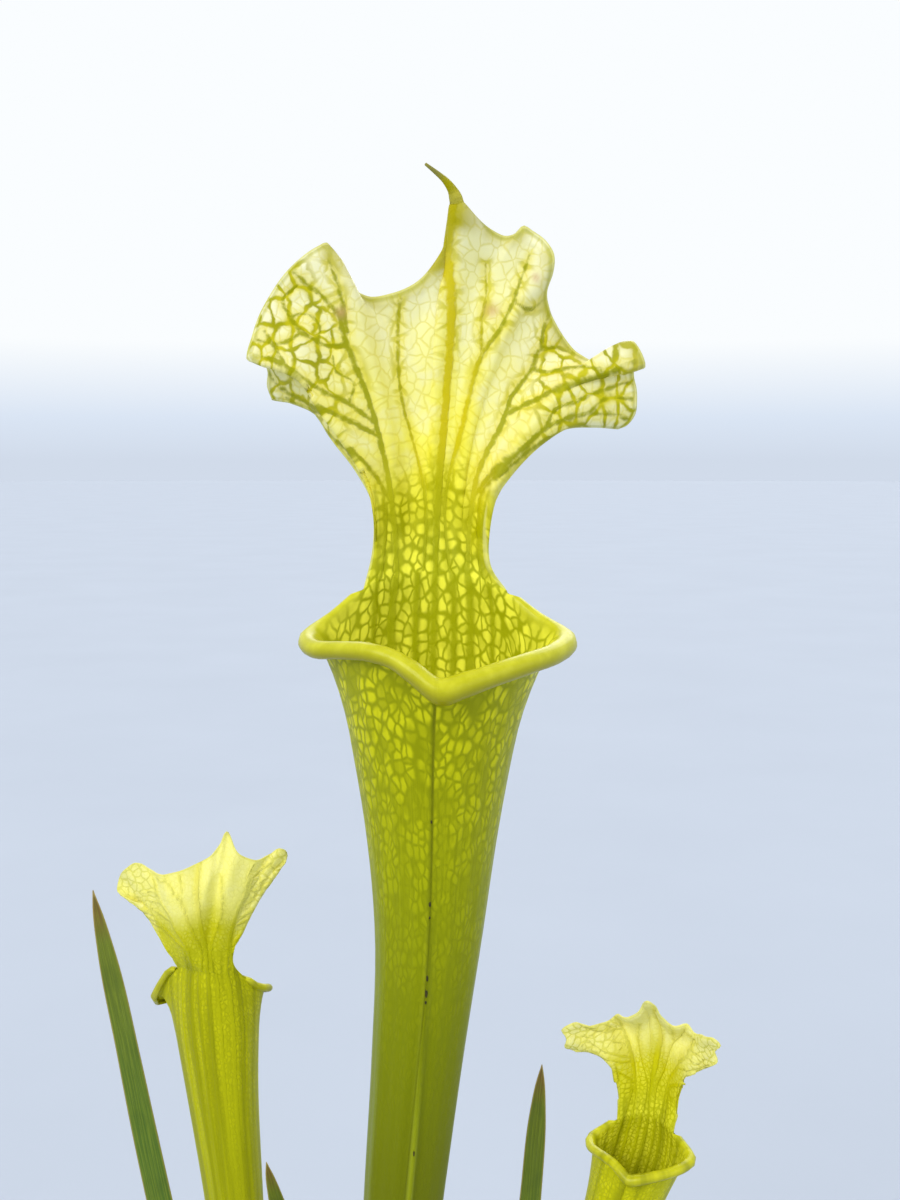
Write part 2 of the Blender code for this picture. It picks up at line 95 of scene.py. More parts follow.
# Free edges of the neck, then of the lid from its lower left lobe to its lower right one.
NECK_LEFT = [
    (-16.8, 17.0, 21.5), (-16.0, 18.5, 29.0), (-16.6, 19.0, 36.0), (-20.7, 19.5, 44.0),
    (-27.4, 20.0, 52.7), (-32.0, 21.0, 59.4), (-37.0, 23.0, 61.7),
]
NECK_RIGHT = [
    (13.8, 17.0, 19.0), (12.8, 18.5, 28.0), (14.0, 19.0, 36.0), (18.8, 19.5, 43.6), (26.4, 20.0, 51.2),
    (33.0, 21.0, 55.3), (41.0, 22.5, 56.0),
]
LID_EDGE = [
    (-43.4, 24.5, 63.1), (-44.4, 23.0, 66.5), (-43.7, 20.0, 70.6), (-44.2, 16.5, 72.4),
    (-46.2, 13.5, 72.5), (-48.0, 12.0, 72.7), (-47.9, 12.0, 74.2), (-46.9, 12.5, 78.0),
    (-44.5, 15.0, 85.4), (-40.9, 17.5, 92.0), (-35.0, 18.5, 98.0), (-30.4, 17.0, 101.2),
    (-28.0, 16.5, 102.2), (-27.3, 17.5, 100.6), (-26.0, 20.0, 97.0), (-22.4, 24.0, 91.9),
    (-17.2, 27.0, 89.9), (-11.0, 27.0, 90.8), (-5.0, 25.0, 93.6), (-0.8, 22.5, 97.6),
    (1.8, 21.0, 102.2), (2.9, 19.0, 107.4), (3.6, 18.0, 112.0), (7.0, 18.0, 112.2), (9.9, 19.5, 109.2),
    (14.0, 22.0, 106.5), (18.4, 23.0, 104.9), (20.6, 21.5, 105.3), (22.6, 20.0, 107.2),
    (24.6, 19.5, 106.0), (28.2, 19.0, 103.2), (30.2, 19.5, 99.6), (29.9, 21.5, 95.6),
    (28.6, 24.0, 91.0), (29.8, 26.0, 86.2), (33.0, 27.0, 80.4), (38.4, 27.0, 74.7), (41.4, 26.3, 72.8),
    (45.0, 24.0, 71.8), (47.4, 19.0, 74.6), (50.3, 14.0, 77.0), (51.7, 13.0, 75.0), (53.1, 12.5, 71.0),
    (51.0, 16.0, 70.6), (51.8, 18.5, 65.4), (52.0, 20.5, 62.4), (51.4, 22.5, 58.4), (50.0, 23.3, 56.6),
    (47.6, 23.8, 55.6),
]
HOOK_LEFT, HOOK_RIGHT = 22, 23  # the tip grows from between these two points
FLAP = (38, 43)  # between these two points a corner folds forward
# The hooked tip: middle of the strip, and its half width.
HOOK = [
    (5.3, 18.0, 112.1, 1.75), (4.5, 16.6, 114.4, 1.2), (2.7, 14.0, 116.6, 0.75),
    (-0.1, 10.5, 118.4, 0.38), (-2.7, 8.0, 119.9, 0.13),
]

# Main veins of the neck and lid as (x, z), each with its half width at start and end.
# Those that start at the height VEIN_FOOT run on down the tube's back.
VEIN_FOOT = -60
VEINS = [
    ([(-0.5, -60), (-0.4, 10), (0.1, 37), (2.2, 63), (3.7, 88), (3.4, 103), (4.4, 112)], 0.8, 1.1),
    ([(-5.0, -60), (-4.2, 10), (-3.2, 40), (-6.4, 52), (-9.5, 63), (-10.2, 76), (-9.8, 89.5)], 0.7, 0.4),
    ([(-11, -60), (-10.5, 10), (-11.7, 32), (-15.2, 53), (-19.3, 67), (-23.3, 77), (-25, 84)], 0.9, 0.75),
    ([(-25, 84), (-28.6, 88.5), (-33.5, 92.5), (-36, 95)], 0.6, 0.35),
    ([(-23.2, 80), (-24.4, 88), (-27.6, 98)], 0.55, 0.3),
    ([(-23.4, 76.5), (-30.8, 77), (-34.2, 79), (-39, 76.6), (-45.2, 77.4)], 0.6, 0.4),
    ([(-34.2, 79), (-37.6, 83), (-39.5, 88.4), (-35.4, 92)], 0.5, 0.35),
    ([(-31, 77), (-30.4, 82), (-33.6, 84.4), (-38, 83.2)], 0.4, 0.3),
    ([(-16, 56.5), (-23.2, 61.5), (-31, 65.5), (-38, 70.6), (-44.6, 73.6)], 0.7, 0.45),
    ([(-37.9, 70.6), (-40.6, 74.6), (-43.6, 79.5)], 0.45, 0.3),
    ([(-23.2, 61.5), (-22, 67.5), (-26.4, 70), (-27, 74)], 0.4, 0.25),
    ([(-15, 53), (-22.5, 56.8), (-29, 60), (-35.4, 63.6), (-41, 67), (-43.4, 70)], 0.65, 0.4),
    ([(-29, 60), (-34.2, 60.6), (-39.6, 64)], 0.45, 0.3),
    ([(-12.4, 36), (-16, 42), (-22, 49.4), (-29, 55.6), (-36, 61.4)], 0.55, 0.35),
    ([(4.3, -60), (4.3, 10), (2.8, 40), (6.1, 52), (8.7, 63), (12.5, 75.5), (16.6, 81)], 0.7, 0.55),
    ([(16.6, 81), (20.2, 88), (22.4, 94), (24.2, 99.6)], 0.5, 0.35),
    ([(12.0, 75), (12.0, 84), (13.2, 91), (12.6, 98.4)], 0.4, 0.3),
    ([(20.2, 88), (24.6, 86.8), (28.4, 89.6)], 0.4, 0.3),
    ([(8.6, -60), (8.0, 10), (9.0, 30), (11.3, 44), (18.3, 59), (19.3, 63), (25.2, 71)], 0.95, 0.75),
    ([(25.2, 71), (27.2, 76.4), (30.9, 77.2), (36.2, 75)], 0.65, 0.4),
    ([(27.2, 76.4), (28.2, 82), (29.4, 86)], 0.4, 0.3),
    ([(19.4, 59.4), (28, 63.2), (36.6, 67.4), (43.6, 69.6), (50.4, 72.4)], 0.7, 0.4),
    ([(25.2, 71), (29.2, 70), (35.2, 70.8), (42.4, 70.4)], 0.5, 0.35),
    ([(10.6, 38), (15.5, 43.6), (22.5, 50.8), (28.2, 55.6), (33.4, 58.2), (39.4, 59.8)], 0.7, 0.55),
    ([(39.4, 59.8), (45, 59.6), (50.4, 58)], 0.45, 0.3),
    ([(28.2, 55.6), (30, 59.8), (36, 62.4), (42.4, 65), (50, 67.4)], 0.55, 0.35),
    ([(39.4, 59.8), (44, 63.4), (50.6, 63)], 0.4, 0.3),
    ([(12, 30), (12.4, 38), (17.4, 44.4), (24, 50), (31, 54.6)], 0.5, 0.35),
    ([(-16.4, -60), (-16, 8), (-14.2, 24), (-13.6, 36)], 0.6, 0.5),
    ([(14.8, -60), (14.4, 8), (11.8, 22), (12.0, 34)], 0.6, 0.5),
]

# The young and the short pitcher have broader necks and low, ruffled lids.
YOUNG_NECK_LEFT = [
    (-15.5, 14.5, 20.0), (-12.6, 16.5, 34.4), (-13.0, 18.5, 46.0), (-14.6, 20.0, 58.5),
    (-17.9, 19.0, 70.0), (-21.0, 18.0, 79.0),
]
YOUNG_NECK_RIGHT = [
    (21.0, 14.5, 27.0), (19.6, 16.5, 38.0), (20.6, 18.0, 53.0), (24.0, 17.5, 58.0),
]
YOUNG_LID_EDGE = [
    (-24.1, 17.0, 84.8), (-31.6, 14.0, 87.7), (-38.0, 11.0, 89.5), (-42.5, 8.5, 92.0),
    (-45.0, 6.0, 97.5), (-44.0, 7.0, 102.0), (-40.6, 9.0, 103.8), (-35.0, 12.0, 99.6),
    (-30.1, 15.0, 97.6), (-24.5, 17.0, 99.4), (-19.7, 18.0, 102.9), (-15.2, 17.0, 109.0),
    (-11.2, 13.0, 116.8), (-8.4, 15.0, 110.4), (-5.2, 17.5, 104.6), (0.5, 21.0, 99.7),
    (8.0, 24.5, 96.0), (18.2, 26.0, 92.6), (26.0, 24.0, 91.2), (32.0, 20.0, 91.9), (37.5, 16.0, 95.2),
    (41.5, 14.0, 95.0), (46.0, 11.0, 91.4), (50.5, 8.5, 86.0), (53.4, 7.0, 78.0), (53.4, 7.0, 71.6),
    (48.7, 9.0, 69.4), (40.4, 13.0, 67.4), (34.0, 15.5, 64.2), (28.7, 17.0, 61.3),
]
SHORT_NECK_LEFT = [
    (-19.5, 18.0, 24.0), (-20.0, 19.0, 36.0), (-22.0, 20.0, 50.0), (-30.0, 20.0, 58.0),
    (-40.0, 16.0, 62.0),
]
SHORT_NECK_RIGHT = [
    (18.5, 18.0, 23.0), (18.0, 19.0, 36.0), (20.0, 20.0, 52.0), (30.0, 18.0, 62.0),
]
SHORT_LID_EDGE = [
    (-46.0, 9.0, 64.5), (-52.0, 6.0, 70.0), (-50.5, 5.0, 77.0), (-54.0, 3.0, 84.0), (-47.0, 7.0, 90.0),
    (-38.0, 16.0, 86.0), (-30.0, 26.0, 86.0), (-22.0, 24.0, 95.0), (-14.0, 18.0, 97.0),
    (-8.0, 17.0, 102.0), (-3.0, 14.0, 113.0), (1.5, 10.0, 118.0), (5.0, 13.0, 112.0),
    (9.0, 18.0, 100.0), (16.0, 24.0, 94.0), (22.0, 25.0, 96.0), (28.0, 22.0, 91.0), (36.0, 14.0, 95.0),
    (43.0, 8.0, 98.0), (48.0, 7.0, 93.0), (44.0, 8.0, 86.0), (46.0, 9.0, 79.0), (38.0, 12.0, 72.0),
]
OUTLINES = {
    "tall": (NECK_LEFT, NECK_RIGHT, LID_EDGE),
    "young": (YOUNG_NECK_LEFT, YOUNG_NECK_RIGHT, YOUNG_LID_EDGE),
    "short": (SHORT_NECK_LEFT, SHORT_NECK_RIGHT, SHORT_LID_EDGE),
}

# Sword leaves: foot to tip, then the tip's height and half width at the broadest part.
SWORD_LEAVES = {
    "sword_leaf_left": ([(-27.5, 8.5), (-46, 20), (-62, 28), (-76, 31)], 340, 3.6),
    "sword_leaf_right": ([(17, 8), (32, 16), (44, 26), (50, 38)], 286, 3.4),
    "sword_leaf_back": ([(-9, 17), (-13, 30), (-20, 40), (-31, 46)], 252, 3.2),
}
# Unopened spear: (x, y, z, half width).
SPEAR = [
    (5.5, 10.5, LEAF_FOOT, 2.1), (7.3, 13.6, 160, 2.6), (10.6, 18.0, 195, 3.5), (12.4, 20.4, 218, 4.2),
    (13.0, 21.3, 232, 3.0), (13.0, 21.6, 244, 0.5),
]


# ---------------------------------------------------------------- numbers and meshes
def through(keys, values, at):
    """A smooth curve through values at keys, read at the places at."""
    keys = np.asarray(keys, float)
    values = np.asarray(values, float)
    at = np.asarray(at, float)
    slope = np.gradient(values, keys, axis=0)
    i = np.clip(np.searchsorted(keys, at, side="right") - 1, 0, len(keys) - 2)
    step = keys[i + 1] - keys[i]
    t = (at - keys[i]) / step
    if values.ndim > 1:
        t, step = t[..., None], step[..., None]
    return (
        values[i] * (1 + 2 * t) * (1 - t) ** 2
        + slope[i] * step * t * (1 - t) ** 2
        + values[i + 1] * t * t * (3 - 2 * t)
        + slope[i + 1] * step * t * t * (t - 1)
    )


def lengthwise(points):
    """Keys from 0 to 1 along a chain of points, by its length."""
    steps = np.linalg.norm(np.diff(np.asarray(points, float), axis=0), axis=1)
    keys = np.concatenate([[0], np.cumsum(steps)])
    return keys / keys[-1]


def ease(t):
    t = np.clip(t, 0, 1)
    return t * t * (3 - 2 * t)


def bump_at(x, centre, width):
    return np.exp(-(((x - centre) / width) ** 2))


def gap_to_lines(points, lines):
    """Distance from each (x, z) point to the nearest tapering line, less its half width."""
    best = np.full(len(points), 1e3)
    for line, first, last in lines:
        line = np.asarray(line, float)
        fine = through(lengthwise(line), line, np.linspace(0, 1, 6 * len(line)))
        share = lengthwise(fine)
        for k in range(len(fine) - 1):
            a, run = fine[k], fine[k + 1] - fine[k]
            t = np.clip(((points - a) @ run) / (run @ run), 0, 1)
            away = np.linalg.norm(points - a - t[:, None] * run, axis=1)
            along = share[k] + (share[k + 1] - share[k]) * t
            thin = 0.3 * ease((44 - points[:, 1]) / 25)
            best = np.minimum(best, away - (first + (last - first) * along) * (1 - thin))
    return best


def gap_to_chain(points, chain):
    """Distance from each point to a chain of points."""
    best = np.full(len(points), 1e3)
    for a, b in zip(chain, chain[1:]):
        run = b - a
        t = np.clip(((points - a) @ run) / max(run @ run, 1e-9), 0, 1)
        best = np.minimum(best, np.linalg.norm(points - a - t[:, None] * run, axis=1))
    return best


def mesh_piece(name, points, faces, materials, fields=None, uv=None, scale=MM):
    """A smooth mesh object from points, with named values and a UV map on its points."""
    mesh = bpy.data.meshes.new(name)
    mesh.from_pydata((np.asarray(points, float) * scale).tolist(), [], faces)
    for key, values in (fields or {}).items():
        layer = mesh.attributes.new(key, "FLOAT", "POINT")
        layer.data.foreach_set("value", np.asarray(values, np.float32))
    if uv is not None:
        layer = mesh.uv_layers.new(name="sheet")
        corner = np.zeros(len(mesh.loops), np.int32)
        mesh.loops.foreach_get("vertex_index", corner)
        layer.data.foreach_set("uv", np.asarray(uv, np.float32)[corner].ravel())
    mesh.update()
    mesh.shade_smooth()
    for finish in materials:
        mesh.materials.append(finish)
    obj = bpy.data.objects.new(name, mesh)
    bpy.context.scene.collection.objects.link(obj)
    return obj


def band_faces(faces, low, high, sides):
    """Faces between two equal closed rings, given by their first points."""
    for k in range(sides):
        n = (k + 1) % sides
        faces.append((low + k, low + n, high + n, high + k))


def strip_faces(faces, below, above):
    """Faces between two rows of points, each listed from left to right."""
    for i in range(len(above) - 1):
        corners = (below[i + 1], below[i], above[i], above[i + 1])
        faces.append(tuple(dict.fromkeys(corners)))


def baked(obj):
    """The object with its modifiers made part of its mesh."""
    bpy.context.view_layer.update()
    made = bpy.data.meshes.new_from_object(
        obj.evaluated_get(bpy.context.evaluated_depsgraph_get())
    )
    made.name = obj.name
    obj.modifiers.clear()
    obj.data = made
    return obj


def keep(obj, *nodes, slot):
    """The piece rides with the plant and stands for its nodes, which it hides; slot is not used."""
    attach(obj, BODY)
    if nodes:
        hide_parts(*nodes)
    return obj


# ---------------------------------------------------------------- shader building
def feed(tree, value, socket):
    """A link where the value is another socket, or else the socket's own value."""
    if isinstance(value, bpy.types.NodeSocket):
        tree.links.new(value, socket)
    else:
        socket.default_value = value


def add_node(tree, kind, values=None, **settings):
    node = tree.nodes.new(kind)
    for key, value in settings.items():
        setattr(node, key, value)
    for key, value in (values or {}).items():
        feed(tree, value, node.inputs[key])
    return node


def set_stops(node, stops):
    elements = node.color_ramp.elements
    while len(elements) < len(stops):
        elements.new(0.5)
    for element, (where, colour) in zip(elements, stops):
        element.position = where
        element.color = colour


def tint(red, green, blue):
    """A display colour of 0 to 255 as the linear colour that a shader takes."""

    def linear(v):
        v /= 255
        return v / 12.92 if v <= 0.04045 else ((v + 0.055) / 1.055) ** 2.4

    return (linear(red), linear(green), linear(blue), 1.0)


def tones(*rows):
    """Colour stops from rows of place, red, green and blue."""
    return [(where, tint(*colour)) for where, *colour in rows]


class Finish:
    """A Principled material and short ways to feed it."""

    def __init__(self, name, roughness=0.5, specular=0.5):
        self.material = bpy.data.materials.new(name)
        self.material.use_nodes = True
        self.tree = self.material.node_tree
        self.surface = self.tree.nodes["Principled BSDF"]
        self.surface.inputs["Roughness"].default_value = roughness
        self.surface.inputs["Specular IOR Level"].default_value = specular

    def add(self, kind, values=None, **settings):
        return add_node(self.tree, kind, values, **settings)

    def set(self, **values):
        for key, value in values.items():
            feed(self.tree, value, self.surface.inputs[key.replace("_", " ").title()])

    def field(self, name):
        return self.add("ShaderNodeAttribute", attribute_name=name).outputs["Fac"]

    def sheet(self):
        return self.add("ShaderNodeUVMap", uv_map="sheet").outputs["UV"]

    def place(self):
        return self.add("ShaderNodeTexCoord").outputs["Object"]

    def calc(self, operation, a, b):
        return self.add("ShaderNodeMath", {0: a, 1: b}, operation=operation).outputs[0]

    def times(self, a, b):
        return self.calc("MULTIPLY", a, b)

    def plus(self, a, b):
        return self.calc("ADD", a, b)

    def minus(self, a, b):
        return self.calc("SUBTRACT", a, b)

    def rest(self, a):
        return self.calc("SUBTRACT", 1.0, a)

    def larger(self, a, b):
        return self.calc("MAXIMUM", a, b)

    def step(self, value, low, high, start=0.0, end=1.0):
        node = self.add(
            "ShaderNodeMapRange",
            {"Value": value, "From Min": low, "From Max": high, "To Min": start, "To Max": end},
            interpolation_type="SMOOTHSTEP",
        )
        return node.outputs["Result"]

    def ramp(self, value, stops):
        node = self.add("ShaderNodeValToRGB", {"Fac": value})
        set_stops(node, stops)
        return node.outputs["Color"]

    def level(self, value, stops):
        return self.ramp(value, [(p, (v, v, v, 1.0)) for p, v in stops])

    def mix(self, share, a, b):
        node = self.add("ShaderNodeMix", {0: share, 6: a, 7: b}, data_type="RGBA")
        return node.outputs[2]

    def blend(self, share, a, b):
        """a where share is 0 and b where it is 1, for plain numbers."""
        node = self.add("ShaderNodeMix", {0: share, 2: a, 3: b}, data_type="FLOAT")
        return node.outputs[0]

    def stretch(self, vector, scale):
        node = self.add("ShaderNodeMapping", {"Vector": vector, "Scale": scale})
        return node.outputs["Vector"]

    def noise(self, vector, scale, detail=3.0, rough=0.55, output="Fac"):
        node = self.add(
            "ShaderNodeTexNoise",
            {"Vector": vector, "Scale": scale, "Detail": detail, "Roughness": rough},
        )
        return node.outputs[output]

    def wander(self, vector, scale, far):
        """The vector pushed about by noise, so that a pattern's lines meander."""
        colour = self.noise(vector, scale, 2.0, output="Color")
        kind = "ShaderNodeVectorMath"
        centred = self.add(kind, {0: colour, 1: (0.5, 0.5, 0.5)}, operation="SUBTRACT").outputs[0]
        shift = self.add(kind, {0: centred, "Scale": far}, operation="SCALE").outputs[0]
        return self.add(kind, {0: vector, 1: shift}, operation="ADD").outputs[0]

    def cells(self, vector):
        """Distance from the walls of a net of cells one unit wide."""
        return self.add(
            "ShaderNodeTexVoronoi",
            {"Vector": vector, "Scale": 1.0},
            feature="DISTANCE_TO_EDGE",
            voronoi_dimensions="2D",
        ).outputs["Distance"]

    def cell_parts(self, vector):
        """Distance from the middle of each cell of the same net, and its own random value."""
        node = self.add(
            "ShaderNodeTexVoronoi", {"Vector": vector, "Scale": 1.0}, voronoi_dimensions="2D"
        )
        tone = self.add("ShaderNodeSeparateColor", {0: node.outputs["Color"]}).outputs[0]
        return node.outputs["Distance"], tone

    def relief(self, height, depth, strength=1.0):
        node = self.add(
            "ShaderNodeBump",
            {"Height": height, "Distance": depth, "Strength": strength},
        )
        self.tree.links.new(node.outputs["Normal"], self.surface.inputs["Normal"])


# ---------------------------------------------------------------- finishes
LIP_YELLOW = tint(202, 200, 16)
LIP_LIGHT = tint(234, 231, 60)
# Colours along a pitcher, keyed by its height: foot 0, rim 0.5, edge of the lid 1.
# Outside, both colours darken towards the tube's foot: partly its own deeper green, partly painted shade
# low down by the pot.
OUTSIDE_GROUND = tones(
    (0.0, 128, 92, 40), (0.03, 106, 112, 14), (0.2, 102, 110, 1), (0.27, 116, 124, 1),
    (0.33, 136, 143, 2), (0.4, 178, 183, 8), (0.465, 212, 211, 18), (0.5, 222, 219, 30),
    (0.58, 236, 230, 44), (0.68, 246, 239, 92), (0.8, 249, 242, 138), (1.0, 250, 244, 176),
)
OUTSIDE_NET = tones(
    (0.0, 92, 60, 24), (0.03, 84, 92, 4), (0.2, 96, 104, 0), (0.27, 112, 120, 0), (0.33, 124, 133, 0),
    (0.4, 140, 147, 0), (0.5, 152, 156, 0), (0.6, 164, 166, 0), (0.68, 200, 190, 14),
    (1.0, 204, 194, 60),
)
# Inside, the ground runs bright yellow round the mouth and up the neck: the windows' own pale yellow,
# brightened by painted light shining through from behind.
INSIDE_GROUND = tones(
    (0.0, 120, 112, 20), (0.25, 150, 154, 6), (0.38, 220, 218, 20), (0.46, 254, 251, 72),
    (0.52, 254, 250, 76), (0.6, 252, 245, 62), (0.66, 254, 246, 88), (0.74, 254, 248, 140),
    (0.85, 254, 248, 170), (1.0, 254, 250, 204),
)
INSIDE_NET = tones(
    (0.0, 96, 92, 10), (0.25, 124, 130, 0), (0.42, 168, 172, 0), (0.49, 168, 172, 0),
    (0.54, 156, 160, 0), (0.63, 186, 182, 0), (0.7, 222, 208, 8), (1.0, 218, 206, 56),
)


def pitcher_finish(name, inside, warm=0.0):
    """Leaf of a pitcher: a green net over yellow windows, pale and cream on the lid."""
    f = Finish(name, roughness=0.4, specular=0.3)
    f.surface.inputs["Specular Tint"].default_value = (0.9, 0.95, 0.25, 1.0)
    path = f.times(f.field("path"), 0.5)
    sheet = f.sheet()
    lobe = f.field("lobe")
    wavy = f.wander(sheet, 0.2, 2.6)
    lid_share = f.step(path, 0.7, 0.84) if warm else f.step(path, 0.605, 0.7)
    ground_stops, net_stops = (
        (INSIDE_GROUND, INSIDE_NET) if inside else (OUTSIDE_GROUND, OUTSIDE_NET)
    )
    ground = f.ramp(path, ground_stops)
    net = f.ramp(path, net_stops)
    cloud = f.noise(sheet, 0.09, 3.0)
    ground = f.mix(
        f.times(f.step(cloud, 0.42, 0.64), 0.5),
        ground,
        f.mix(lid_share, ground, tint(250, 247, 206)),
    )

    # Windows of the tube and neck: soft rounded cells of unequal strength.
    cell_width, cell_height = (2.5, 3.2) if inside else (2.1, 3.4)
    scaled = f.stretch(wavy, (1 / cell_width, 1 / cell_height, 1))
    gap, centre, tone = f.cells(scaled), *f.cell_parts(scaled)
    if inside:
        neck = f.times(f.step(path, 0.485, 0.525), f.step(path, 0.63, 0.58))
        centre = f.plus(centre, f.times(neck, 0.12))
        rounded = f.times(f.step(gap, 0.0, 0.2), f.step(centre, 0.76, 0.4))
    else:
        rounded = f.times(f.step(gap, 0.0, 0.24), f.step(centre, 0.8, 0.3))
    weakest = 0.6 if inside else 0.3
    patch = f.step(f.noise(f.stretch(sheet, (1.0, 0.6, 1)), 0.16, 2.0), 0.36, 0.56, weakest)
    windows = f.times(rounded, patch)
    windows = f.times(windows, f.step(tone, 0.0, 0.5, weakest))
    if inside:
        keep_share = f.level(
            path,
            [(0.0, 0.1), (0.3, 0.5), (0.45, 1.0), (0.51, 1.0), (0.55, 0.82), (0.59, 1.0), (0.66, 1.0)],
        )
    else:
        keep_share = f.level(
            path, [(0.0, 0.25), (0.25, 0.4), (0.4, 0.7), (0.48, 1.0), (0.55, 1.0)]
        )
    windows = f.times(windows, keep_share)
    beside = f.step(f.field("vein_gap"), -0.6, 1.2, 0.2, 1.0)
    windows = f.times(windows, beside)
    # A thin, paler glow over the whole neck, so that its net isn't all one green.
    flush = f.times(f.step(cloud, 0.38, 0.62), f.step(path, 0.44, 0.6))
    net = f.mix(f.times(flush, 0.22), net, ground)

    # Lid: a faint fine net everywhere, and a strong broad one on the lobes.
    faint = f.cells(f.stretch(wavy, (1 / 2.7, 1 / 3.4, 1)))
    lobe_cells = f.stretch(f.wander(sheet, 0.16, 4.0), (1 / 4.6, 1 / 5.4, 1))
    broad, broad_centre = f.cells(lobe_cells), f.cell_parts(lobe_cells)[0]
    faint_line = f.times(f.step(faint, 0.15, 0.0), 0.44)
    ragged = f.noise(sheet, 0.42, 2.0)
    broad_width = f.step(ragged, 0.35, 0.65, 0.0, 0.06)
    open_part = f.step(f.minus(broad, broad_width), 0.01, 0.13)
    open_part = f.times(open_part, f.step(broad_centre, 0.92, 0.52))
    broad_line = f.times(f.rest(open_part), lobe)
    lines = f.larger(faint_line, broad_line)
    on_lid = f.times(broad_line, lid_share)
    net = f.mix(f.times(on_lid, 0.9), net, tint(158, 158, 4))
    share = f.blend(lid_share, f.rest(windows), lines)
    colour = f.mix(share, ground, net)

    # Long faint streaks up the tube.
    streaks = f.noise(f.stretch(sheet, (1.1, 0.03, 1)), 1.0, 4.0)
    below = f.step(path, 0.5, 0.42)
    streak_share = f.times(f.step(streaks, 0.4, 0.72, 0.0, 0.35), below)
    colour = f.mix(streak_share, colour, ground)

    # Main veins, a little ragged, with a yellow glow beside them on the lid.
    near = f.plus(f.field("vein_gap"), f.step(ragged, 0.3, 0.7, 0.3, -0.3))
    glow = f.times(f.step(near, 2.4, 0.3), lid_share)
    colour = f.mix(f.times(glow, 0.45), colour, tint(240, 226, 30))
    vein_colour = f.mix(
        lid_share,
        f.ramp(path, net_stops),
        f.mix(f.field("outer"), tint(214, 197, 4), tint(156, 157, 2)),
    )
    core = f.times(f.step(near, 0.55, -0.4), f.step(path, 0.38, 0.5, 0.3))
    core_share = f.times(core, f.step(path, 0.56, 0.68, 0.6, 0.92))
    colour = f.mix(core_share, colour, vein_colour)

    # Painted light: paler bands down the tube's flat sides, strongest on the left one, which faces the
    # key light.
    facet = f.times(f.field("facet"), 0.4)
    colour = f.mix(facet, colour, tint(140, 154, 8))
    seam = f.field("seam_gap")
    dark_seam = f.times(f.step(seam, 0.95, 0.15), f.step(path, 0.3, 0.37))
    colour = f.mix(f.times(dark_seam, 0.6), colour, tint(104, 112, 0))
    pale_seam = f.times(f.step(seam, 1.1, 0.4), f.step(path, 0.34, 0.27))
    colour = f.mix(f.times(pale_seam, 0.7), colour, tint(156, 166, 24))

    # Margin: tan-grey painted shade where it turns away round the bays, a thin vein, then a pale edge.
    colour = f.mix(f.times(f.field("bay"), 0.72), colour, tint(196, 188, 76))
    edge = f.field("edge_gap")
    edge = f.plus(edge, f.times(f.field("hook"), 3.0))
    rim_vein = f.times(f.step(edge, 0.35, 0.7), f.step(edge, 1.7, 0.9))
    colour = f.mix(f.times(rim_vein, 0.5), colour, tint(172, 172, 22))
    pale_edge = f.times(f.step(edge, 0.6, 0.2), 0.75)
    colour = f.mix(pale_edge, colour, tint(222, 220, 130))
    colour = f.mix(f.times(f.field("blotch"), 0.6), colour, tint(206, 160, 112))
    tip = f.mix(f.field("outer"), tint(182, 172, 0), tint(150, 144, 70))
    colour = f.mix(f.field("hook"), colour, tip)
    lip = f.field("lip")
    lip_tone = f.step(f.noise(sheet, 0.3, 3.0), 0.36, 0.7, 0.0, 0.5)
    lip_colour = f.mix(lip_tone, LIP_YELLOW, LIP_LIGHT)
    # Painted shade: the underside of the rolled lip, far round its turn, is darker olive.
    lip_colour = f.mix(f.step(f.field("outer"), 0.36, 0.72), lip_colour, tint(158, 153, 0))
    colour = f.mix(lip, colour, lip_colour)
    if warm:
        bands = f.noise(f.stretch(sheet, (0.14, 0.005, 1)), 1.0, 2.0)
        dark_band = f.times(f.step(bands, 0.42, 0.64), f.step(path, 0.64, 0.5))
        pale = f.mix(lid_share, tint(206, 204, 10), tint(253, 247, 126))
        colour = f.mix(f.step(path, 0.2, 0.72, warm * 0.6, warm), colour, pale)
        colour = f.mix(f.times(dark_band, 0.6), colour, tint(134, 137, 0))
    grain = f.noise(sheet, 2.6, 3.0)
    height = f.minus(f.times(grain, 0.3), f.times(share, 0.35))
    height = f.plus(height, f.times(core, 0.8))
    height = f.times(height, f.rest(f.times(lip, 0.9)))
    f.relief(height, 0.0003, 0.8)
    f.set(
        base_color=colour,
        roughness=f.step(grain, 0.3, 0.7, 0.36, 0.5),
        coat_weight=f.times(lip, 0.35),
        subsurface_weight=0.08,
    )
    f.surface.inputs["Coat Roughness"].default_value = 0.22
    f.surface.inputs["Subsurface Radius"].default_value = (1.0, 1.0, 0.3)
    f.surface.inputs["Subsurface Scale"].default_value = 0.0007
    return f.material


def sword_finish():
    """Flat leaf: green with fine parallel veins, and a dry tip."""
    f = Finish("sword_leaf", roughness=0.42, specular=0.4)
    sheet = f.sheet()
    path = f.field("path")
    lines = f.noise(f.stretch(sheet, (3.0, 0.05, 1)), 1.0, 3.0)
    cloud = f.noise(sheet, 0.08, 4.0)
    base = f.ramp(
        path,
        tones(
            (0.0, 150, 70, 40), (0.07, 128, 128, 30), (0.3, 70, 102, 10), (0.7, 80, 110, 10),
            (0.93, 104, 118, 16), (0.98, 124, 92, 34), (1.0, 104, 76, 48),
        ),
    )
    light = f.mix(0.45, base, tint(150, 166, 36))
    colour = f.mix(f.step(lines, 0.42, 0.62, 0.0, 0.7), base, light)
    colour = f.mix(f.step(cloud, 0.45, 0.75, 0.0, 0.35), colour, tint(50, 76, 6))
    colour = f.mix(
        f.times(f.step(f.field("edge_gap"), 0.5, 0.1), 0.6),
        colour,
        tint(190, 170, 90),
    )
    f.relief(lines, 0.0003, 0.8)
    f.set(base_color=colour, roughness=f.step(cloud, 0.3, 0.7, 0.36, 0.52))
    return f.material


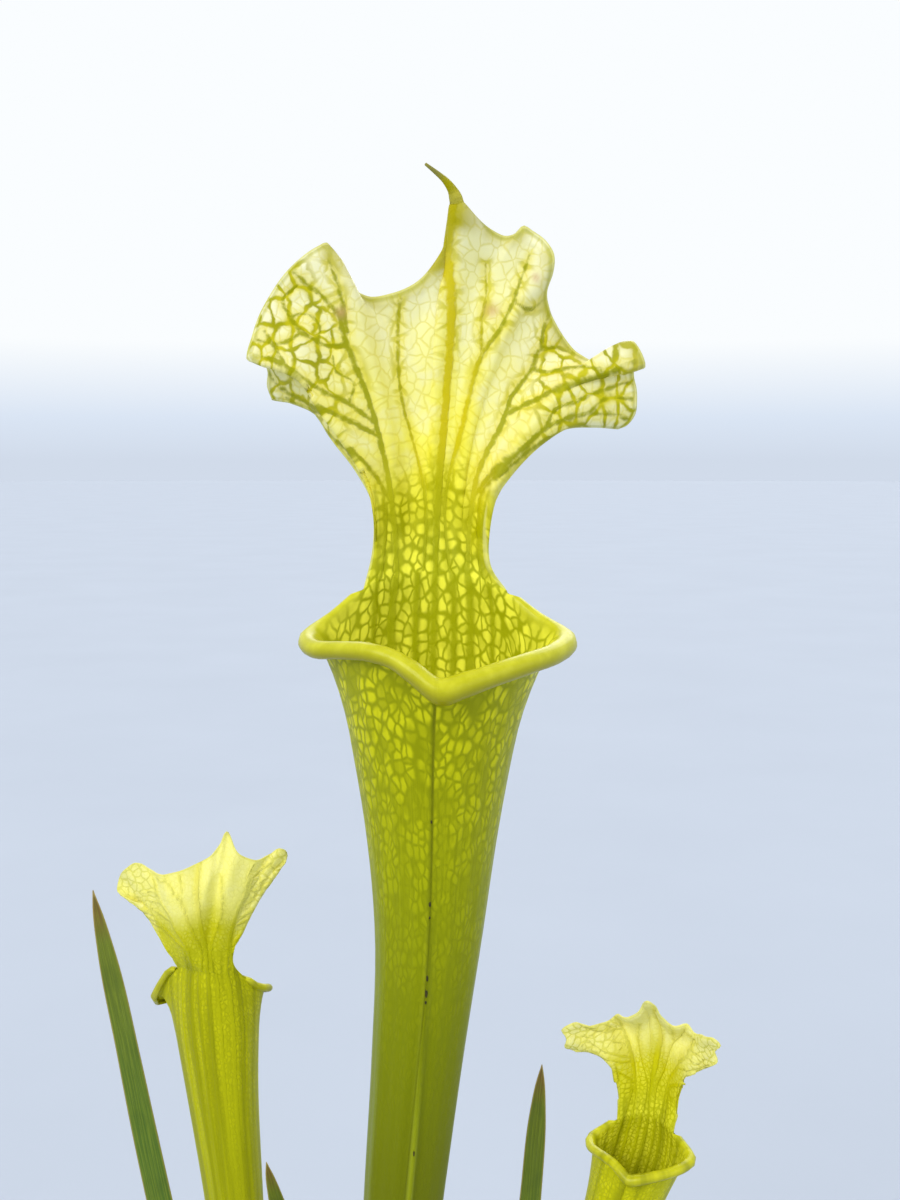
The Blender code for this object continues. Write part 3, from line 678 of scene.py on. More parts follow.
def dry_finish():
    """Old leaf bases and scales: brown, ribbed and papery."""
    f = Finish("dry_leaf", roughness=0.85, specular=0.25)
    place = f.place()
    ribs = f.noise(f.stretch(place, (1500, 1500, 90)), 1.0, 4.0)
    cloud = f.noise(place, 160, 4.0)
    base = f.ramp(
        cloud,
        tones(
            (0.3, 96, 58, 34), (0.5, 142, 98, 58), (0.64, 176, 136, 88), (0.75, 120, 112, 54),
        ),
    )
    colour = f.mix(f.step(ribs, 0.4, 0.66, 0.0, 0.65), base, tint(206, 176, 128))
    f.relief(ribs, 0.0006, 0.9)
    f.set(base_color=colour, roughness=f.step(cloud, 0.3, 0.7, 0.72, 0.95))
    return f.material


def rhizome_finish():
    f = Finish("rhizome", roughness=0.8, specular=0.25)
    place = f.place()
    cloud = f.noise(place, 120, 5.0)
    rings = f.noise(f.stretch(place, (420, 90, 420)), 1.0, 4.0)
    colour = f.ramp(
        cloud, tones((0.3, 52, 34, 22), (0.46, 88, 56, 36), (0.58, 118, 80, 50), (0.7, 112, 104, 48))
    )
    colour = f.mix(f.step(rings, 0.48, 0.66, 0.0, 0.6), colour, tint(74, 40, 26))
    f.relief(f.plus(rings, cloud), 0.0012, 0.9)
    f.set(base_color=colour, roughness=f.step(cloud, 0.3, 0.7, 0.65, 0.92))
    return f.material


def mix_finish():
    """Moist peat: dark brown with lighter fibres and pale specks."""
    f = Finish("potting_mix", roughness=0.95, specular=0.2)
    place = f.place()
    crumbs = f.noise(place, 420, 6.0, 0.7)
    cloud = f.noise(place, 60, 4.0)
    colour = f.ramp(
        crumbs, tones((0.34, 34, 24, 17), (0.5, 66, 46, 32), (0.62, 98, 72, 48), (0.72, 150, 120, 84))
    )
    colour = f.mix(f.step(cloud, 0.4, 0.7, 0.0, 0.5), colour, tint(44, 33, 24))
    f.relief(crumbs, 0.002, 1.0)
    f.set(base_color=colour, roughness=f.step(cloud, 0.3, 0.7, 0.8, 1.0))
    return f.material


def grain_finish(name, dark, light, rough=0.9, scale=900):
    f = Finish(name, roughness=rough, specular=0.25)
    place = f.place()
    cloud = f.noise(place, scale, 4.0)
    f.set(base_color=f.ramp(cloud, [(0.34, dark), (0.66, light)]))
    f.set(roughness=f.step(cloud, 0.3, 0.7, rough - 0.12, rough + 0.05))
    f.relief(cloud, 0.0005, 0.8)
    return f.material


def pot_finish():
    """Dark moulded plastic: fine grain, faint rubbed marks and dried splashes."""
    f = Finish("pot", roughness=0.5, specular=0.4)
    place = f.place()
    grain = f.noise(place, 1700, 3.0)
    cloud = f.noise(place, 24, 5.0)
    rub = f.noise(f.stretch(place, (60, 60, 12)), 1.0, 5.0, 0.7)
    colour = f.ramp(cloud, tones((0.3, 46, 49, 51), (0.7, 62, 65, 67)))
    colour = f.mix(f.step(rub, 0.55, 0.72, 0.0, 0.3), colour, tint(112, 112, 108))
    height = f.add("ShaderNodeSeparateXYZ", {0: place}).outputs["Z"]
    low = f.times(f.step(height, 0.03, 0.0), f.step(f.noise(place, 160, 4.0), 0.45, 0.62))
    colour = f.mix(f.times(low, 0.6), colour, tint(122, 104, 84))
    drips = f.noise(f.stretch(place, (190, 190, 16)), 1.0, 3.0)
    high = f.times(f.step(height, 0.08, 0.125), f.step(drips, 0.56, 0.68))
    colour = f.mix(f.times(high, 0.5), colour, tint(134, 126, 112))
    f.relief(grain, 0.0002, 0.5)
    f.set(base_color=colour, roughness=f.step(rub, 0.3, 0.7, 0.42, 0.62))
    return f.material


# ---------------------------------------------------------------- pitcher leaves
class Head:
    """Rim, neck and lid round the top of a tube, in the tall pitcher's measures."""

    def __init__(self, tube, outline="tall", scale=(1, 1, 1), facing=0.0):
        top = tube[-1]
        self.centre = np.array([top[1], top[2], top[0]], float)
        self.scale = np.asarray(scale, float)
        self.turn = np.array(Matrix.Rotation(math.radians(facing), 3, "Z"))
        self.outline = outline
        self.small = outline != "tall"
        self.lip_scale = {"tall": 0.94, "young": 0.6, "short": 0.85}[outline]
        self.neck_left, self.neck_right, edge = OUTLINES[outline]
        self.lid_edge = np.array(edge, float)

    def place(self, local):
        return (np.asarray(local, float) * self.scale) @ self.turn.T + self.centre

    def lip_radius(self, angles):
        keys, radius = np.array(LIP_RADIUS, float).T
        return np.interp(angles, keys, radius) * self.lip_scale

    def wall_end(self, angles):
        """Where the wall stops and the lip starts, and the two ways it rolls."""
        keys, radius, height = np.array(RIM).T
        radius = through(keys, radius, angles)
        height = through(keys, height, angles)
        if self.outline == "young":
            turn, share, drop = np.array(YOUNG_RIM, float).T
            radius = radius * np.interp(angles, turn, share)
            height = height - through(turn, drop, angles)
        a = np.radians(angles)
        out = np.stack([np.sin(a), -np.cos(a), np.zeros_like(a)], axis=1)
        up = np.array([0, 0, 1.0])
        along = math.cos(LIP_TILT) * out + math.sin(LIP_TILT) * up
        away = math.sin(LIP_TILT) * out - math.cos(LIP_TILT) * up
        lip = self.lip_radius(angles)[:, None]
        start = out * radius[:, None] + up * height[:, None] - away * lip
        return start, along, away


def lid_shares(head, columns):
    """Shares from 0 to 1 across the lid, and the columns that carry the hooked tip.

    Every listed point of the edge gets a column, so that its corners stay sharp.
    """
    keys = lengthwise(head.lid_edge)
    shares, starts = [0.0], [0]
    for i, (a, b) in enumerate(zip(keys, keys[1:])):
        steps = max(1, round((b - a) * columns))
        if not head.small and i == HOOK_LEFT:
            steps = 6
        shares.extend(np.linspace(a, b, steps + 1)[1:])
        starts.append(len(shares) - 1)
    hook = None if head.small else (starts[HOOK_LEFT], starts[HOOK_RIGHT])
    return np.array(shares), hook


def margin_line(head, shares):
    """The lid's edge: smooth on each side of the hooked tip and straight across its foot."""
    edge, keys = head.lid_edge, lengthwise(head.lid_edge)
    if head.small:
        return through(keys, edge, shares)
    left, right = keys[HOOK_LEFT], keys[HOOK_RIGHT]
    line = edge[HOOK_LEFT] + (edge[HOOK_RIGHT] - edge[HOOK_LEFT]) * (
        ((shares - left) / (right - left))[:, None]
    )
    first, last = shares < left, shares > right
    line[first] = through(keys[: HOOK_LEFT + 1], edge[: HOOK_LEFT + 1], shares[first])
    line[last] = through(keys[HOOK_RIGHT:], edge[HOOK_RIGHT:], shares[last])
    return line


def broad_line(head, shares, reach):
    """The same edge without its small folds, as a running mean over reach of its length."""
    even = np.linspace(0, 1, 401)
    line = margin_line(head, even)
    if not head.small:
        keys = lengthwise(head.lid_edge)
        first, last = keys[FLAP[0]], keys[FLAP[1]]
        inside = (even > first) & (even < last)
        share = ((even[inside] - first) / (last - first))[:, None]
        line[inside] = head.lid_edge[FLAP[0]] * (1 - share) + head.lid_edge[FLAP[1]] * share
    weight = np.exp(-(((even[:, None] - even) / reach) ** 2))
    weight /= weight.sum(axis=1, keepdims=True)
    hold = ease(np.minimum(even, 1 - even) / (1.5 * reach))[:, None]
    mean = hold * (weight @ line) + (1 - hold) * line
    return np.stack([np.interp(shares, even, mean[:, k]) for k in range(3)], axis=1)


def lid_rows(head, shares, angles, rows):
    """Rows of local points up the neck and out to the lid's edge, with folds and ruffles."""
    foot, _, _ = head.wall_end(angles)
    left = np.array([foot[0], *head.neck_left, head.lid_edge[0]])
    right = np.array([foot[-1], *head.neck_right, head.lid_edge[-1]])
    edge = margin_line(head, shares)
    broad = broad_line(head, shares, 0.024)
    s = shares[:, None]
    low = foot - ((1 - s) * foot[0] + s * foot[-1])
    high = broad - ((1 - s) * edge[0] + s * edge[-1])
    left_keys, right_keys = lengthwise(left), lengthwise(right)
    made = []
    for b in np.linspace(0, 1, rows + 1):
        sides = (1 - s) * through(left_keys, left, b) + s * through(right_keys, right, b)
        row = sides + (1 - b) * low + b * high + (edge - broad) * ease((b - 0.7) / 0.3) ** 1.3
        far = ease((b - 0.45) / 0.55)
        row[:, 1] += far * (1.3 * np.sin(shares * 41.0 + 2.2 * b) + 0.7 * np.sin(shares * 83.0))
        cup = ease(b / 0.5) * ease((1 - b) / 0.25)
        row[:, 1] += 5.0 * cup * (4 * shares * (1 - shares)) ** 2
        made.append(row)
    return made


DEGREES_PER_RADIAN = 57.3


def keel_angle(v):
    """The keel leaves the middle of the front a little on its way down."""
    return 7.0 * ease((0.82 - v) / 0.35)


def tube_rings(tube, head, angles, rows):
    """Rings of points up the tube to the rim, keeled in front, and the height share of each."""
    tube = np.array(tube, float)
    height, size = tube[:, 0], tube[:, 1:]
    end, _, _ = head.wall_end(angles)
    a = np.radians(angles)
    rings, shares = [], []
    for v in 1 - (1 - np.linspace(0, 1, rows + 1)) ** 1.45:
        level = height[0] + (height[-1] - height[0]) * v
        x, y, half_width, half_depth = through(height, size, level)
        keel = 0.3 + 1.7 * ease((0.86 - v) / 0.4) * ease(v / 0.06)
        drift = keel_angle(v)
        round_tube = (angles - drift) * half_width / DEGREES_PER_RADIAN
        wing = 1 + keel * bump_at(round_tube, 0.0, 0.75) / half_width
        corner = 0.05 * ease((0.9 - v) / 0.4) * ease(v / 0.1)
        wing = wing + corner * (bump_at(angles, -50, 9) + 0.7 * bump_at(angles, 66, 10))
        wing = wing - 0.5 * corner * (bump_at(angles, -74, 14) + bump_at(angles, -28, 14))
        flute = 0.006 * np.sin(np.radians(angles) * 22) * ease(v / 0.1)
        wing = wing + flute
        local = np.stack(
            [half_width * wing * np.sin(a), -half_depth * wing * np.cos(a), np.zeros_like(a)],
            axis=1,
        )
        ring = local @ head.turn.T + (x, y, level)
        flare = np.clip((v - 0.93) / 0.07, 0, 1) ** 2
        rings.append((1 - flare) * ring + flare * head.place(end))
        shares.append(v)
    return rings, np.array(shares)


FIELDS = (
    "path", "vein_gap", "edge_gap", "seam_gap", "lip", "facet", "lobe", "outer", "bay", "blotch",
    "hook",
)
# Stretches of the lid's edge, as points of LID_EDGE, that turn away round the bays, where the finish
# paints a band of shade.
BAYS = [(12, 21), (25, 28), (31, 43)]
# Brownish spots on the lid: x, z and radius.
BLOTCHES = [(-24.6, 85.0, 1.5), (14.6, 86.0, 1.8), (26.0, 94.0, 1.0)]

SHEET_RADIUS = 22.0  # arcs round a pitcher are measured at this radius
# Columns across the lid, columns round the front, rows up the tube, rows up the neck and
# lid, rows round the lip, and the wall's thickness.
FINE_SHEET = (220, 56, 44, 150, 12, 0.85)
COARSE_SHEET = (90, 40, 40, 60, 8, 0.75)


def pitcher(name, tube, head, divisions, finishes):
    """One leaf as a fine sheet: tube, rolled lip, neck, lid and hooked tip."""
    lid_columns, front, tube_count, lid_count, lip_steps, thickness = divisions
    shares, hook = lid_shares(head, lid_columns)
    back_angles = -NECK_ANGLE - shares * (360 - 2 * NECK_ANGLE)
    back_angles = np.where(back_angles < -180, back_angles + 360, back_angles)
    t = np.linspace(1, -1, front + 1)[1:-1]
    front_angles = NECK_ANGLE * np.sign(t) * np.abs(t) ** 1.3
    angles = np.concatenate([back_angles, front_angles])
    columns, back = len(angles), len(back_angles)
    arc = np.where(angles <= 0, -(angles + 180), 180 - angles) * math.pi / 180 * SHEET_RADIUS

    points, faces = [], []
    table = {key: [] for key in FIELDS}
    uv, thick = [], []

    def put_row(rows, coords, wall, **fields):
        start = len(points)
        points.extend(np.asarray(rows))
        uv.extend(coords)
        thick.extend(np.broadcast_to(wall, len(rows)))
        for key, value in table.items():
            value.extend(np.broadcast_to(fields.get(key, 9.0 if "gap" in key else 0.0), len(rows)))
        return start

    # Tube
    rings, levels = tube_rings(tube, head, angles, tube_count)
    strand = np.abs((np.degrees(np.arcsin(np.sin(np.radians(angles)))) + 4) % 13 - 6.5) * 0.38
    starts = []
    heights = np.array(tube)[:, 0]
    rim_height = head.wall_end(angles)[0][:, 2]
    for ring, v in zip(rings, levels):
        half = through(heights, np.array(tube)[:, 3], heights[0] + v * (heights[-1] - heights[0]))
        seam = np.abs(angles - keel_angle(v)) * math.pi / 180 * half
        up = (ring[:, 2] - head.centre[2]) / head.scale[2]
        coords = np.stack([arc, up - rim_height * max(0, (v - 0.75) / 0.25)], axis=1)
        # The flat sides of the tube get paler bands of painted light.
        facet = ease((-50 - angles) / 4) * ease((angles + 104) / 12) * ease((0.84 - v) / 0.25)
        far_lit_facet = ease((angles - 66) / 4) * ease((100 - angles) / 12) * ease((0.7 - v) / 0.2)
        facet = facet + 0.6 * far_lit_facet
        behind = np.abs(angles) > 100
        veins = np.where(behind, back_vein_gap(arc), strand + 0.4)
        starts.append(
            put_row(
                ring, coords, thickness, path=v, seam_gap=seam, facet=facet, vein_gap=veins,
                lip=0.75 * ease((v - 0.985) / 0.015) * (np.abs(angles) < NECK_ANGLE),
            )
        )
    for low, high in zip(starts, starts[1:]):
        for i in range(columns):
            j = (i + 1) % columns
            faces.append((low + j, low + i, high + i, high + j))
    faces.append(tuple(range(columns)))

    # Neck and lid
    rows = lid_rows(head, shares, back_angles, lid_count)
    cut = hook or (back // 2, back // 2)
    left_margin = [row[0] for row in rows] + list(rows[-1][: cut[0] + 1])
    right_margin = list(rows[-1][cut[1] :]) + [row[-1] for row in rows[::-1]]
    ratio = arc[:back] / np.where(np.abs(rows[0][:, 0]) < 0.5, 0.5, np.abs(rows[0][:, 0]))
    ratio = np.clip(np.abs(ratio), 0.9, 1.25)
    below = list(range(starts[-1], starts[-1] + back))
    for k, row in enumerate(rows[1:], 1):
        b = k / lid_count
        flat = row[:, [0, 2]]
        vein = gap_to_lines(flat, VEINS)
        edge = np.minimum(gap_to_chain(row, left_margin), gap_to_chain(row, right_margin))
        width = row[:, 0] * ((1 - ease(b * 4)) * ratio + ease(b * 4))
        coords = np.stack([width, row[:, 2] - rows[0][:, 2]], axis=1)
        raised = row.copy()
        raised[:, 1] += 0.35 * bump_at(np.maximum(vein, 0), 0, 0.7)
        wall = thickness * (0.45 + 0.55 * ease(edge / 2.5))
        outer = ease((np.abs(row[:, 0] - 2) - 4) / 12)
        lobe = ease((np.abs(row[:, 0] - 1) - 20 - 10 * ease((row[:, 2] - 80) / 20)) / 8)
        lobe = np.maximum(lobe, 0.75 * bump_at(vein, 0.6, 1.6) * ease((b - 0.4) / 0.2))
        bay = np.zeros(back)
        blotch = np.zeros(back)
        hook_tone = np.zeros(back)
        if not head.small:
            # Painted shade: a band that fades out about 4 mm from the stretches that turn away round the
            # bays.
            for first, last in BAYS:
                near = gap_to_chain(row, head.lid_edge[first : last + 1])
                bay = np.maximum(bay, ease((4.2 - near) / 3.4))
            top = gap_to_chain(row, head.lid_edge[19 : HOOK_LEFT + 1])
            hook_tone = ease((row[:, 2] - 104) / 4) * bump_at(row[:, 0], 5.0, 6.0)
            hook_tone = np.maximum(0.9 * hook_tone, 0.75 * ease((2.8 - top) / 1.6))
            for x, z, wide in BLOTCHES:
                blotch = np.maximum(blotch, bump_at(np.hypot(*(flat - (x, z)).T), 0, wide))
        start = put_row(
            head.place(raised),
            coords,
            wall,
            path=1 + b,
            vein_gap=vein,
            edge_gap=edge,
            lobe=lobe,
            outer=outer,
            bay=bay,
            blotch=blotch,
            hook=hook_tone,
        )
        above = list(range(start, start + back))
        strip_faces(faces, below, above)
        below = above
    if hook:
        grow_hook(head, put_row, faces, rows[-1], below, hook, thickness)

    # Lip
    rim = [starts[-1] + i for i in [*range(back - 1, columns), 0]]
    rim_angles = np.concatenate([[NECK_ANGLE], front_angles, [-NECK_ANGLE]])
    start_points, along, away = head.wall_end(rim_angles)
    radius = head.lip_radius(rim_angles)[:, None]
    below = rim
    for turn in np.linspace(0, LIP_TURN, lip_steps + 1)[1:]:
        roll = radius * ((1 - math.cos(turn)) * away + math.sin(turn) * along)
        row = head.place(start_points + roll)[1:-1]
        coords = np.stack([arc[back:], turn * radius[1:-1, 0]], axis=1)
        # outer is the share of the turn round the roll; the finish paints shade on its underside.
        start = put_row(row, coords, thickness, path=1.0, lip=1.0, outer=turn / LIP_TURN)
        above = [rim[0], *range(start, start + len(row)), rim[-1]]
        strip_faces(faces, below, above)
        below = above

    obj = mesh_piece(name, points, faces, finishes, table, uv)
    group = obj.vertex_groups.new(name="wall")
    most = max(thick)
    for value in sorted({round(float(x) / most, 2) for x in thick}):
        chosen = [i for i, x in enumerate(thick) if round(float(x) / most, 2) == value]
        group.add(chosen, value, "REPLACE")
    shell = obj.modifiers.new("wall", "SOLIDIFY")
    shell.thickness = most * MM
    shell.vertex_group = group.name
    shell.offset = -1.0
    shell.material_offset = 1
    shell.material_offset_rim = 1
    return baked(obj)


def back_vein_gap(arc):
    """Distance from the veins that run down the tube's back, less their half width."""
    gap = np.full(len(arc), 9.0)
    for line, first, _ in VEINS:
        if line[0][1] == VEIN_FOOT:
            gap = np.minimum(gap, np.abs(arc - line[0][0] * 1.1) - first)
    return gap


def grow_hook(head, put_row, faces, last_row, below, hook, thickness):
    """The hooked tip, row by row from the top of the lid."""
    first, last = hook
    below = below[first : last + 1]
    base = last_row[first : last + 1]
    line = np.array(HOOK)
    fine = through(lengthwise(line[:, :3]), line, np.linspace(0, 1, 15))
    across = np.linspace(-1, 1, len(base))[:, None]
    for k in range(1, len(fine)):
        lean = fine[min(k + 1, len(fine) - 1), :3] - fine[k - 1, :3]
        side = np.array([lean[2], 0, -lean[0]])
        side /= np.linalg.norm(side)
        row = fine[k, :3] + across * side * fine[k, 3]
        row[:, 1] -= 0.6 * (1 - across[:, 0] ** 2) * fine[k, 3]
        level_base = fine[0, :3] + across * np.array([1.0, 0, 0]) * fine[0, 3]
        row = row + (1 - ease(k / 3)) * (base - level_base)
        gap = (1 - np.abs(across[:, 0])) * fine[k, 3]
        start = put_row(
            head.place(row),
            row[:, [0, 2]],
            thickness * (0.45 + 0.55 * ease(gap / 2.5)),
            path=2.0,
            edge_gap=gap + 0.3,
            hook=0.9 + 0.1 * ease(k / 6),
            outer=ease((k - 6) / 5),
        )
        above = list(range(start, start + len(row)))
        strip_faces(faces, below, above)
        below = above


# ---------------------------------------------------------------- flat and closed leaves
def sword_leaf(name, midline, top, half_width, finish):
    """A flat blade with a keel down its back and a groove down its face."""
    heights = np.linspace(LEAF_FOOT, top, len(midline))
    line = np.column_stack([np.array(midline, float), heights])
    shares = np.linspace(0, 1, 90)
    centres = through(lengthwise(line), line, shares)
    lean = np.gradient(centres, axis=0)
    lean /= np.linalg.norm(lean, axis=1, keepdims=True)
    width = half_width * through(
        [0, 0.12, 0.45, 0.78, 0.92, 0.98, 1], [0.62, 0.66, 1.0, 0.9, 0.68, 0.28, 0.03], shares
    )
    depth = through([0, 0.2, 0.6, 1], [2.0, 1.2, 0.75, 0.25], shares)
    sides = 20
    turn = 2 * math.pi * np.arange(sides) / sides
    points, faces, path, edge, uv = [], [], [], [], []
    run = np.concatenate([[0], np.cumsum(np.linalg.norm(np.diff(centres, axis=0), axis=1))])
    for i, centre in enumerate(centres):
        side = np.cross((0, 1, 0), lean[i])
        side /= np.linalg.norm(side)
        face = np.cross(lean[i], side)
        if i == 0:
            side, face = np.array([1.0, 0, 0]), np.array([0, 1.0, 0])
        wave = 0.5 * math.sin(shares[i] * 17) * shares[i]
        for t in turn:
            x = width[i] * math.cos(t)
            flat = abs(math.cos(t))
            y = depth[i] * math.sin(t) * (0.45 + 0.55 * (1 - flat) ** 0.5)
            keel = 0.5 * bump_at(x, 0, 0.5) * (1 if math.sin(t) > 0 else 0.4)
            y += keel - 0.12 * x * x / half_width
            points.append(centre + side * x + face * (y + wave))
            path.append(shares[i])
            edge.append(width[i] - abs(x))
            uv.append((x, run[i]))
    rows = len(centres)
    for i in range(rows - 1):
        band_faces(faces, i * sides, (i + 1) * sides, sides)
    faces.append(tuple(reversed(range(sides))))
    faces.append(tuple(range((rows - 1) * sides, rows * sides)))
    return mesh_piece(name, points, faces, [finish], {"path": path, "edge_gap": edge}, uv)


def loft(name, rings, finish, path, uv=None, extra=None):
    """A closed solid from equal rings of points, listed from the bottom up."""
    sides = len(rings[0])
    points = np.concatenate(rings)
    faces = []
    for i in range(len(rings) - 1):
        band_faces(faces, i * sides, (i + 1) * sides, sides)
    faces.append(tuple(reversed(range(sides))))
    faces.append(tuple(range((len(rings) - 1) * sides, len(rings) * sides)))
    fields = {"path": np.repeat(path, sides)}
    fields.update(extra or {})
    return mesh_piece(name, points, faces, [finish], fields, uv)


def spear(finish):
    """A young pitcher before it opens: round, seamed in front, its lid folded shut."""
    line = np.array(SPEAR, float)
    shares = np.linspace(0, 1, 80)
    fine = through(lengthwise(line[:, :3]), line, shares)
    sides = 36
    turn = 2 * math.pi * np.arange(sides) / sides
    rings, uv = [], []
    for (x, y, z, radius), share in zip(fine, shares):
        seam = 0.7 * bump_at(turn - 1.5 * math.pi, 0, 0.16) * ease((0.95 - share) / 0.3)
        fold = 0.10 * ease((share - 0.6) / 0.3) * np.sin(turn * 3 + share * 5)
        wide = max(radius, 0.15) * (1 + fold) + seam * ease(radius / 2)
        plan = [x + wide * np.cos(turn), y + 0.85 * wide * np.sin(turn)]
        rings.append(np.stack([*plan, np.full(sides, z)], axis=1))
        uv += [(t * radius, z) for t in turn]
    extra = {"edge_gap": np.full(sides * len(rings), 5.0)}
    return loft("unopened_spear", rings, finish, shares * 0.9 + 0.02, uv, extra)


# Trimmed old leaf bases: where each stands, how far its top leans, and its radius.
STUB_FEET = [(-18.0, -5.5), (-28.5, 2.0), (3.0, -9.0)]
STUB_LEANS = [(-2.5, -3.0), (-5.0, 0.5), (0.5, -4.0)]
STUB_RADII = [3.0, 2.6, 2.6]


def trimmed_base(index, finish):
    """A cut old leaf base: a ribbed, hollow stump with a ragged slanting top."""
    low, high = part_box(f"trimmed_leaf_base_{index}")
    low, high = np.array(low) / MM, np.array(high) / MM
    lean = STUB_LEANS[index - 1]
    radius = STUB_RADII[index - 1]
    foot = np.array(STUB_FEET[index - 1] + (low[2],), float)
    tall = high[2] - low[2] - 1.0
    sides = 30
    turn = 2 * math.pi * np.arange(sides) / sides
    places = [Vector((math.cos(t) * 3, math.sin(t) * 3, index * 7.0)) for t in turn]
    ragged = np.array([noise.noise(place) for place in places])
    ribs = 1 + 0.05 * np.sin(turn * 9) + 0.04 * ragged

    def ring(share, inset, drop):
        centre = foot + np.array([lean[0] * share, lean[1] * share, 0])
        wide = (radius * (1.12 - 0.2 * share) - inset) * ribs
        z = foot[2] + tall * share + ragged * 1.6 * share - drop
        return np.stack([centre[0] + wide * np.cos(turn), centre[1] + wide * np.sin(turn), z], 1)

    shares = [0, 0.08, 0.2, 0.35, 0.5, 0.65, 0.8, 0.92, 1.0]
    rings = [ring(s, 0.0, 0.0) for s in shares]
    rings += [ring(1.0, 0.5, 0.1), ring(0.9, 0.7, 0.0), ring(0.6, 0.8, 0.0), ring(0.45, 1.2, 0.0)]
    rings.append(ring(0.4, radius * 0.9, 0.0))
    return loft(f"trimmed_leaf_base_{index}", rings, finish, np.linspace(0, 1, len(rings)))


def scale_leaf(foot, angle, tall, wide, curl, seed):
    """Points and faces of a papery scale that hugs a leaf base and curls away at its tip."""
    rows, columns = 9, 7
    out = np.array([math.cos(angle), math.sin(angle), 0.0])
    side = np.array([-math.sin(angle), math.cos(angle), 0.0])
    points, faces = [], []
    for i in range(rows):
        s = i / (rows - 1)
        half = wide * math.sqrt(max(1 - s**1.7, 0.0004)) * (0.75 + 0.4 * s)
        for k in range(columns):
            t = 2 * k / (columns - 1) - 1
            crinkle = 0.35 * noise.noise(Vector((t * 2 + seed, s * 3, seed * 1.7)))
            away = -0.55 * half * t * t + curl * s * s * 3.0 + crinkle
            points.append(foot + side * half * t + out * away + np.array([0, 0, tall * s - 1.0]))
    for i in range(rows - 1):
        for k in range(columns - 1):
            a = i * columns + k
            faces.append((a, a + 1, a + 1 + columns, a + columns))
    return points, faces


# Height, half height and half width of each fleck on the keel.
KEEL_FLECKS = [
    (372.0, 0.5, 0.22), (350.5, 0.75, 0.3), (347.0, 0.4, 0.2), (331.0, 0.9, 0.26), (327.0, 1.1, 0.36),
    (324.6, 0.5, 0.25), (284.0, 0.7, 0.24),
]
# Angle round the mouth, turn round the lip, and size of each fleck on the lip.
LIP_FLECKS = [(-58, 2.6, 0.34), (-84, 1.2, 0.2), (46, 2.3, 0.36), (63, 1.6, 0.18), (12, 2.9, 0.2)]


def specks(finish):
    """Dark flecks along the tall pitcher's keel and on its lip."""
    tube = np.array(TALL_TUBE, float)
    points, faces = [], []

    def fleck(centre, wide, tall, deep):
        made = bmesh.new()
        bmesh.ops.create_icosphere(made, subdivisions=2, radius=1.0)
        start = len(points)
        for v in made.verts:
            rough = 1 + 0.3 * noise.noise(v.co * 1.5 + Vector(centre))
            points.append(np.array(centre) + np.array(v.co) * rough * (wide, deep, tall))
        made.verts.index_update()
        faces.extend(tuple(v.index + start for v in face.verts) for face in made.faces)
        made.free()

    for level, tall, wide in KEEL_FLECKS:
        x, y, half_width, half_depth = through(tube[:, 0], tube[:, 1:], level)
        v = (level - tube[0, 0]) / (tube[-1, 0] - tube[0, 0])
        a = math.radians(keel_angle(v))
        keel = 0.3 + 1.7 * ease((0.86 - v) / 0.4)
        far = 1 + keel / half_width
        fleck(
            (x + half_width * far * math.sin(a), y - half_depth * far * math.cos(a), level),
            wide, tall, 0.12,
        )
    head = Head(TALL_TUBE)
    for angle, turn, size in LIP_FLECKS:
        start, along, away = head.wall_end(np.array([float(angle)]))
        roll = (1 - math.cos(turn)) * away[0] + math.sin(turn) * along[0]
        fleck(head.place(start[0] + head.lip_radius(angle) * roll), size, size, size * 0.7)
    return mesh_piece("dark_flecks", points, faces, [finish])


# ---------------------------------------------------------------- crown, mix and pot
# Foot of every leaf and old leaf base: x, y and radius.
LEAF_FEET = [
    (-6.0, 0.0, 3.9), (-22.0, 11.0, 2.8), (11.0, -4.5, 2.8), (-27.5, 8.5, 2.4), (17.0, 8.0, 2.3),
    (-9.0, 17.0, 2.2), (5.5, 10.5, 2.3), (-18.0, -5.5, 3.6), (-28.5, 2.0, 3.1), (3.0, -9.0, 3.1),
]


def crown(finish):
    """The rhizome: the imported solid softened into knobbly, ringed wood."""
    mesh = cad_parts["rhizome"].data.copy()
    obj = bpy.data.objects.new("rhizome_body", mesh)
    bpy.context.scene.collection.objects.link(obj)
    joined = bmesh.new()
    joined.from_mesh(mesh)
    bmesh.ops.remove_doubles(joined, verts=joined.verts, dist=1e-6)
    joined.to_mesh(mesh)
    joined.free()
    grain = obj.modifiers.new("even", "REMESH")
    grain.mode = "VOXEL"
    grain.voxel_size = 0.75 * MM
    soften = obj.modifiers.new("soften", "SMOOTH")
    soften.factor = 0.6
    soften.iterations = 5
    baked(obj)
    mesh = obj.data
    for v in mesh.vertices:
        p = Vector(v.co) / MM
        knobs = noise.noise(p * 0.28) * 0.5 + noise.noise(p * 0.9) * 0.22
        rings = 0.16 * math.sin(p.x * 2.3 + noise.noise(p * 0.2) * 3)
        if p.z < 125.6:
            v.co = Vector(v.co) + v.normal * (min(knobs + rings, 0.25)) * MM
    mesh.shade_smooth()
    mesh.materials.clear()
    mesh.materials.append(finish)
    return obj


def scales(finish):
    """Dry scale leaves round every leaf base, as one piece."""
    rng = np.random.default_rng(11)
    points, faces = [], []
    for x, y, radius in LEAF_FEET:
        for k in range(4):
            angle = rng.uniform(0, 0.9) + k * math.pi / 2
            away = radius + 0.7
            foot = np.array([x + away * math.cos(angle), y + away * math.sin(angle), 125.4])
            tall = rng.uniform(5, 13)
            wide = radius * rng.uniform(0.55, 0.85)
            curl = rng.uniform(0.1, 0.7)
            new, quads = scale_leaf(foot, angle, tall, wide, curl, rng.uniform(0, 50))
            start = len(points)
            points += new
            faces += [tuple(i + start for i in q) for q in quads]
    obj = mesh_piece("dry_scales", points, faces, [finish])
    wall = obj.modifiers.new("wall", "SOLIDIFY")
    wall.thickness = 0.3 * MM
    return baked(obj)


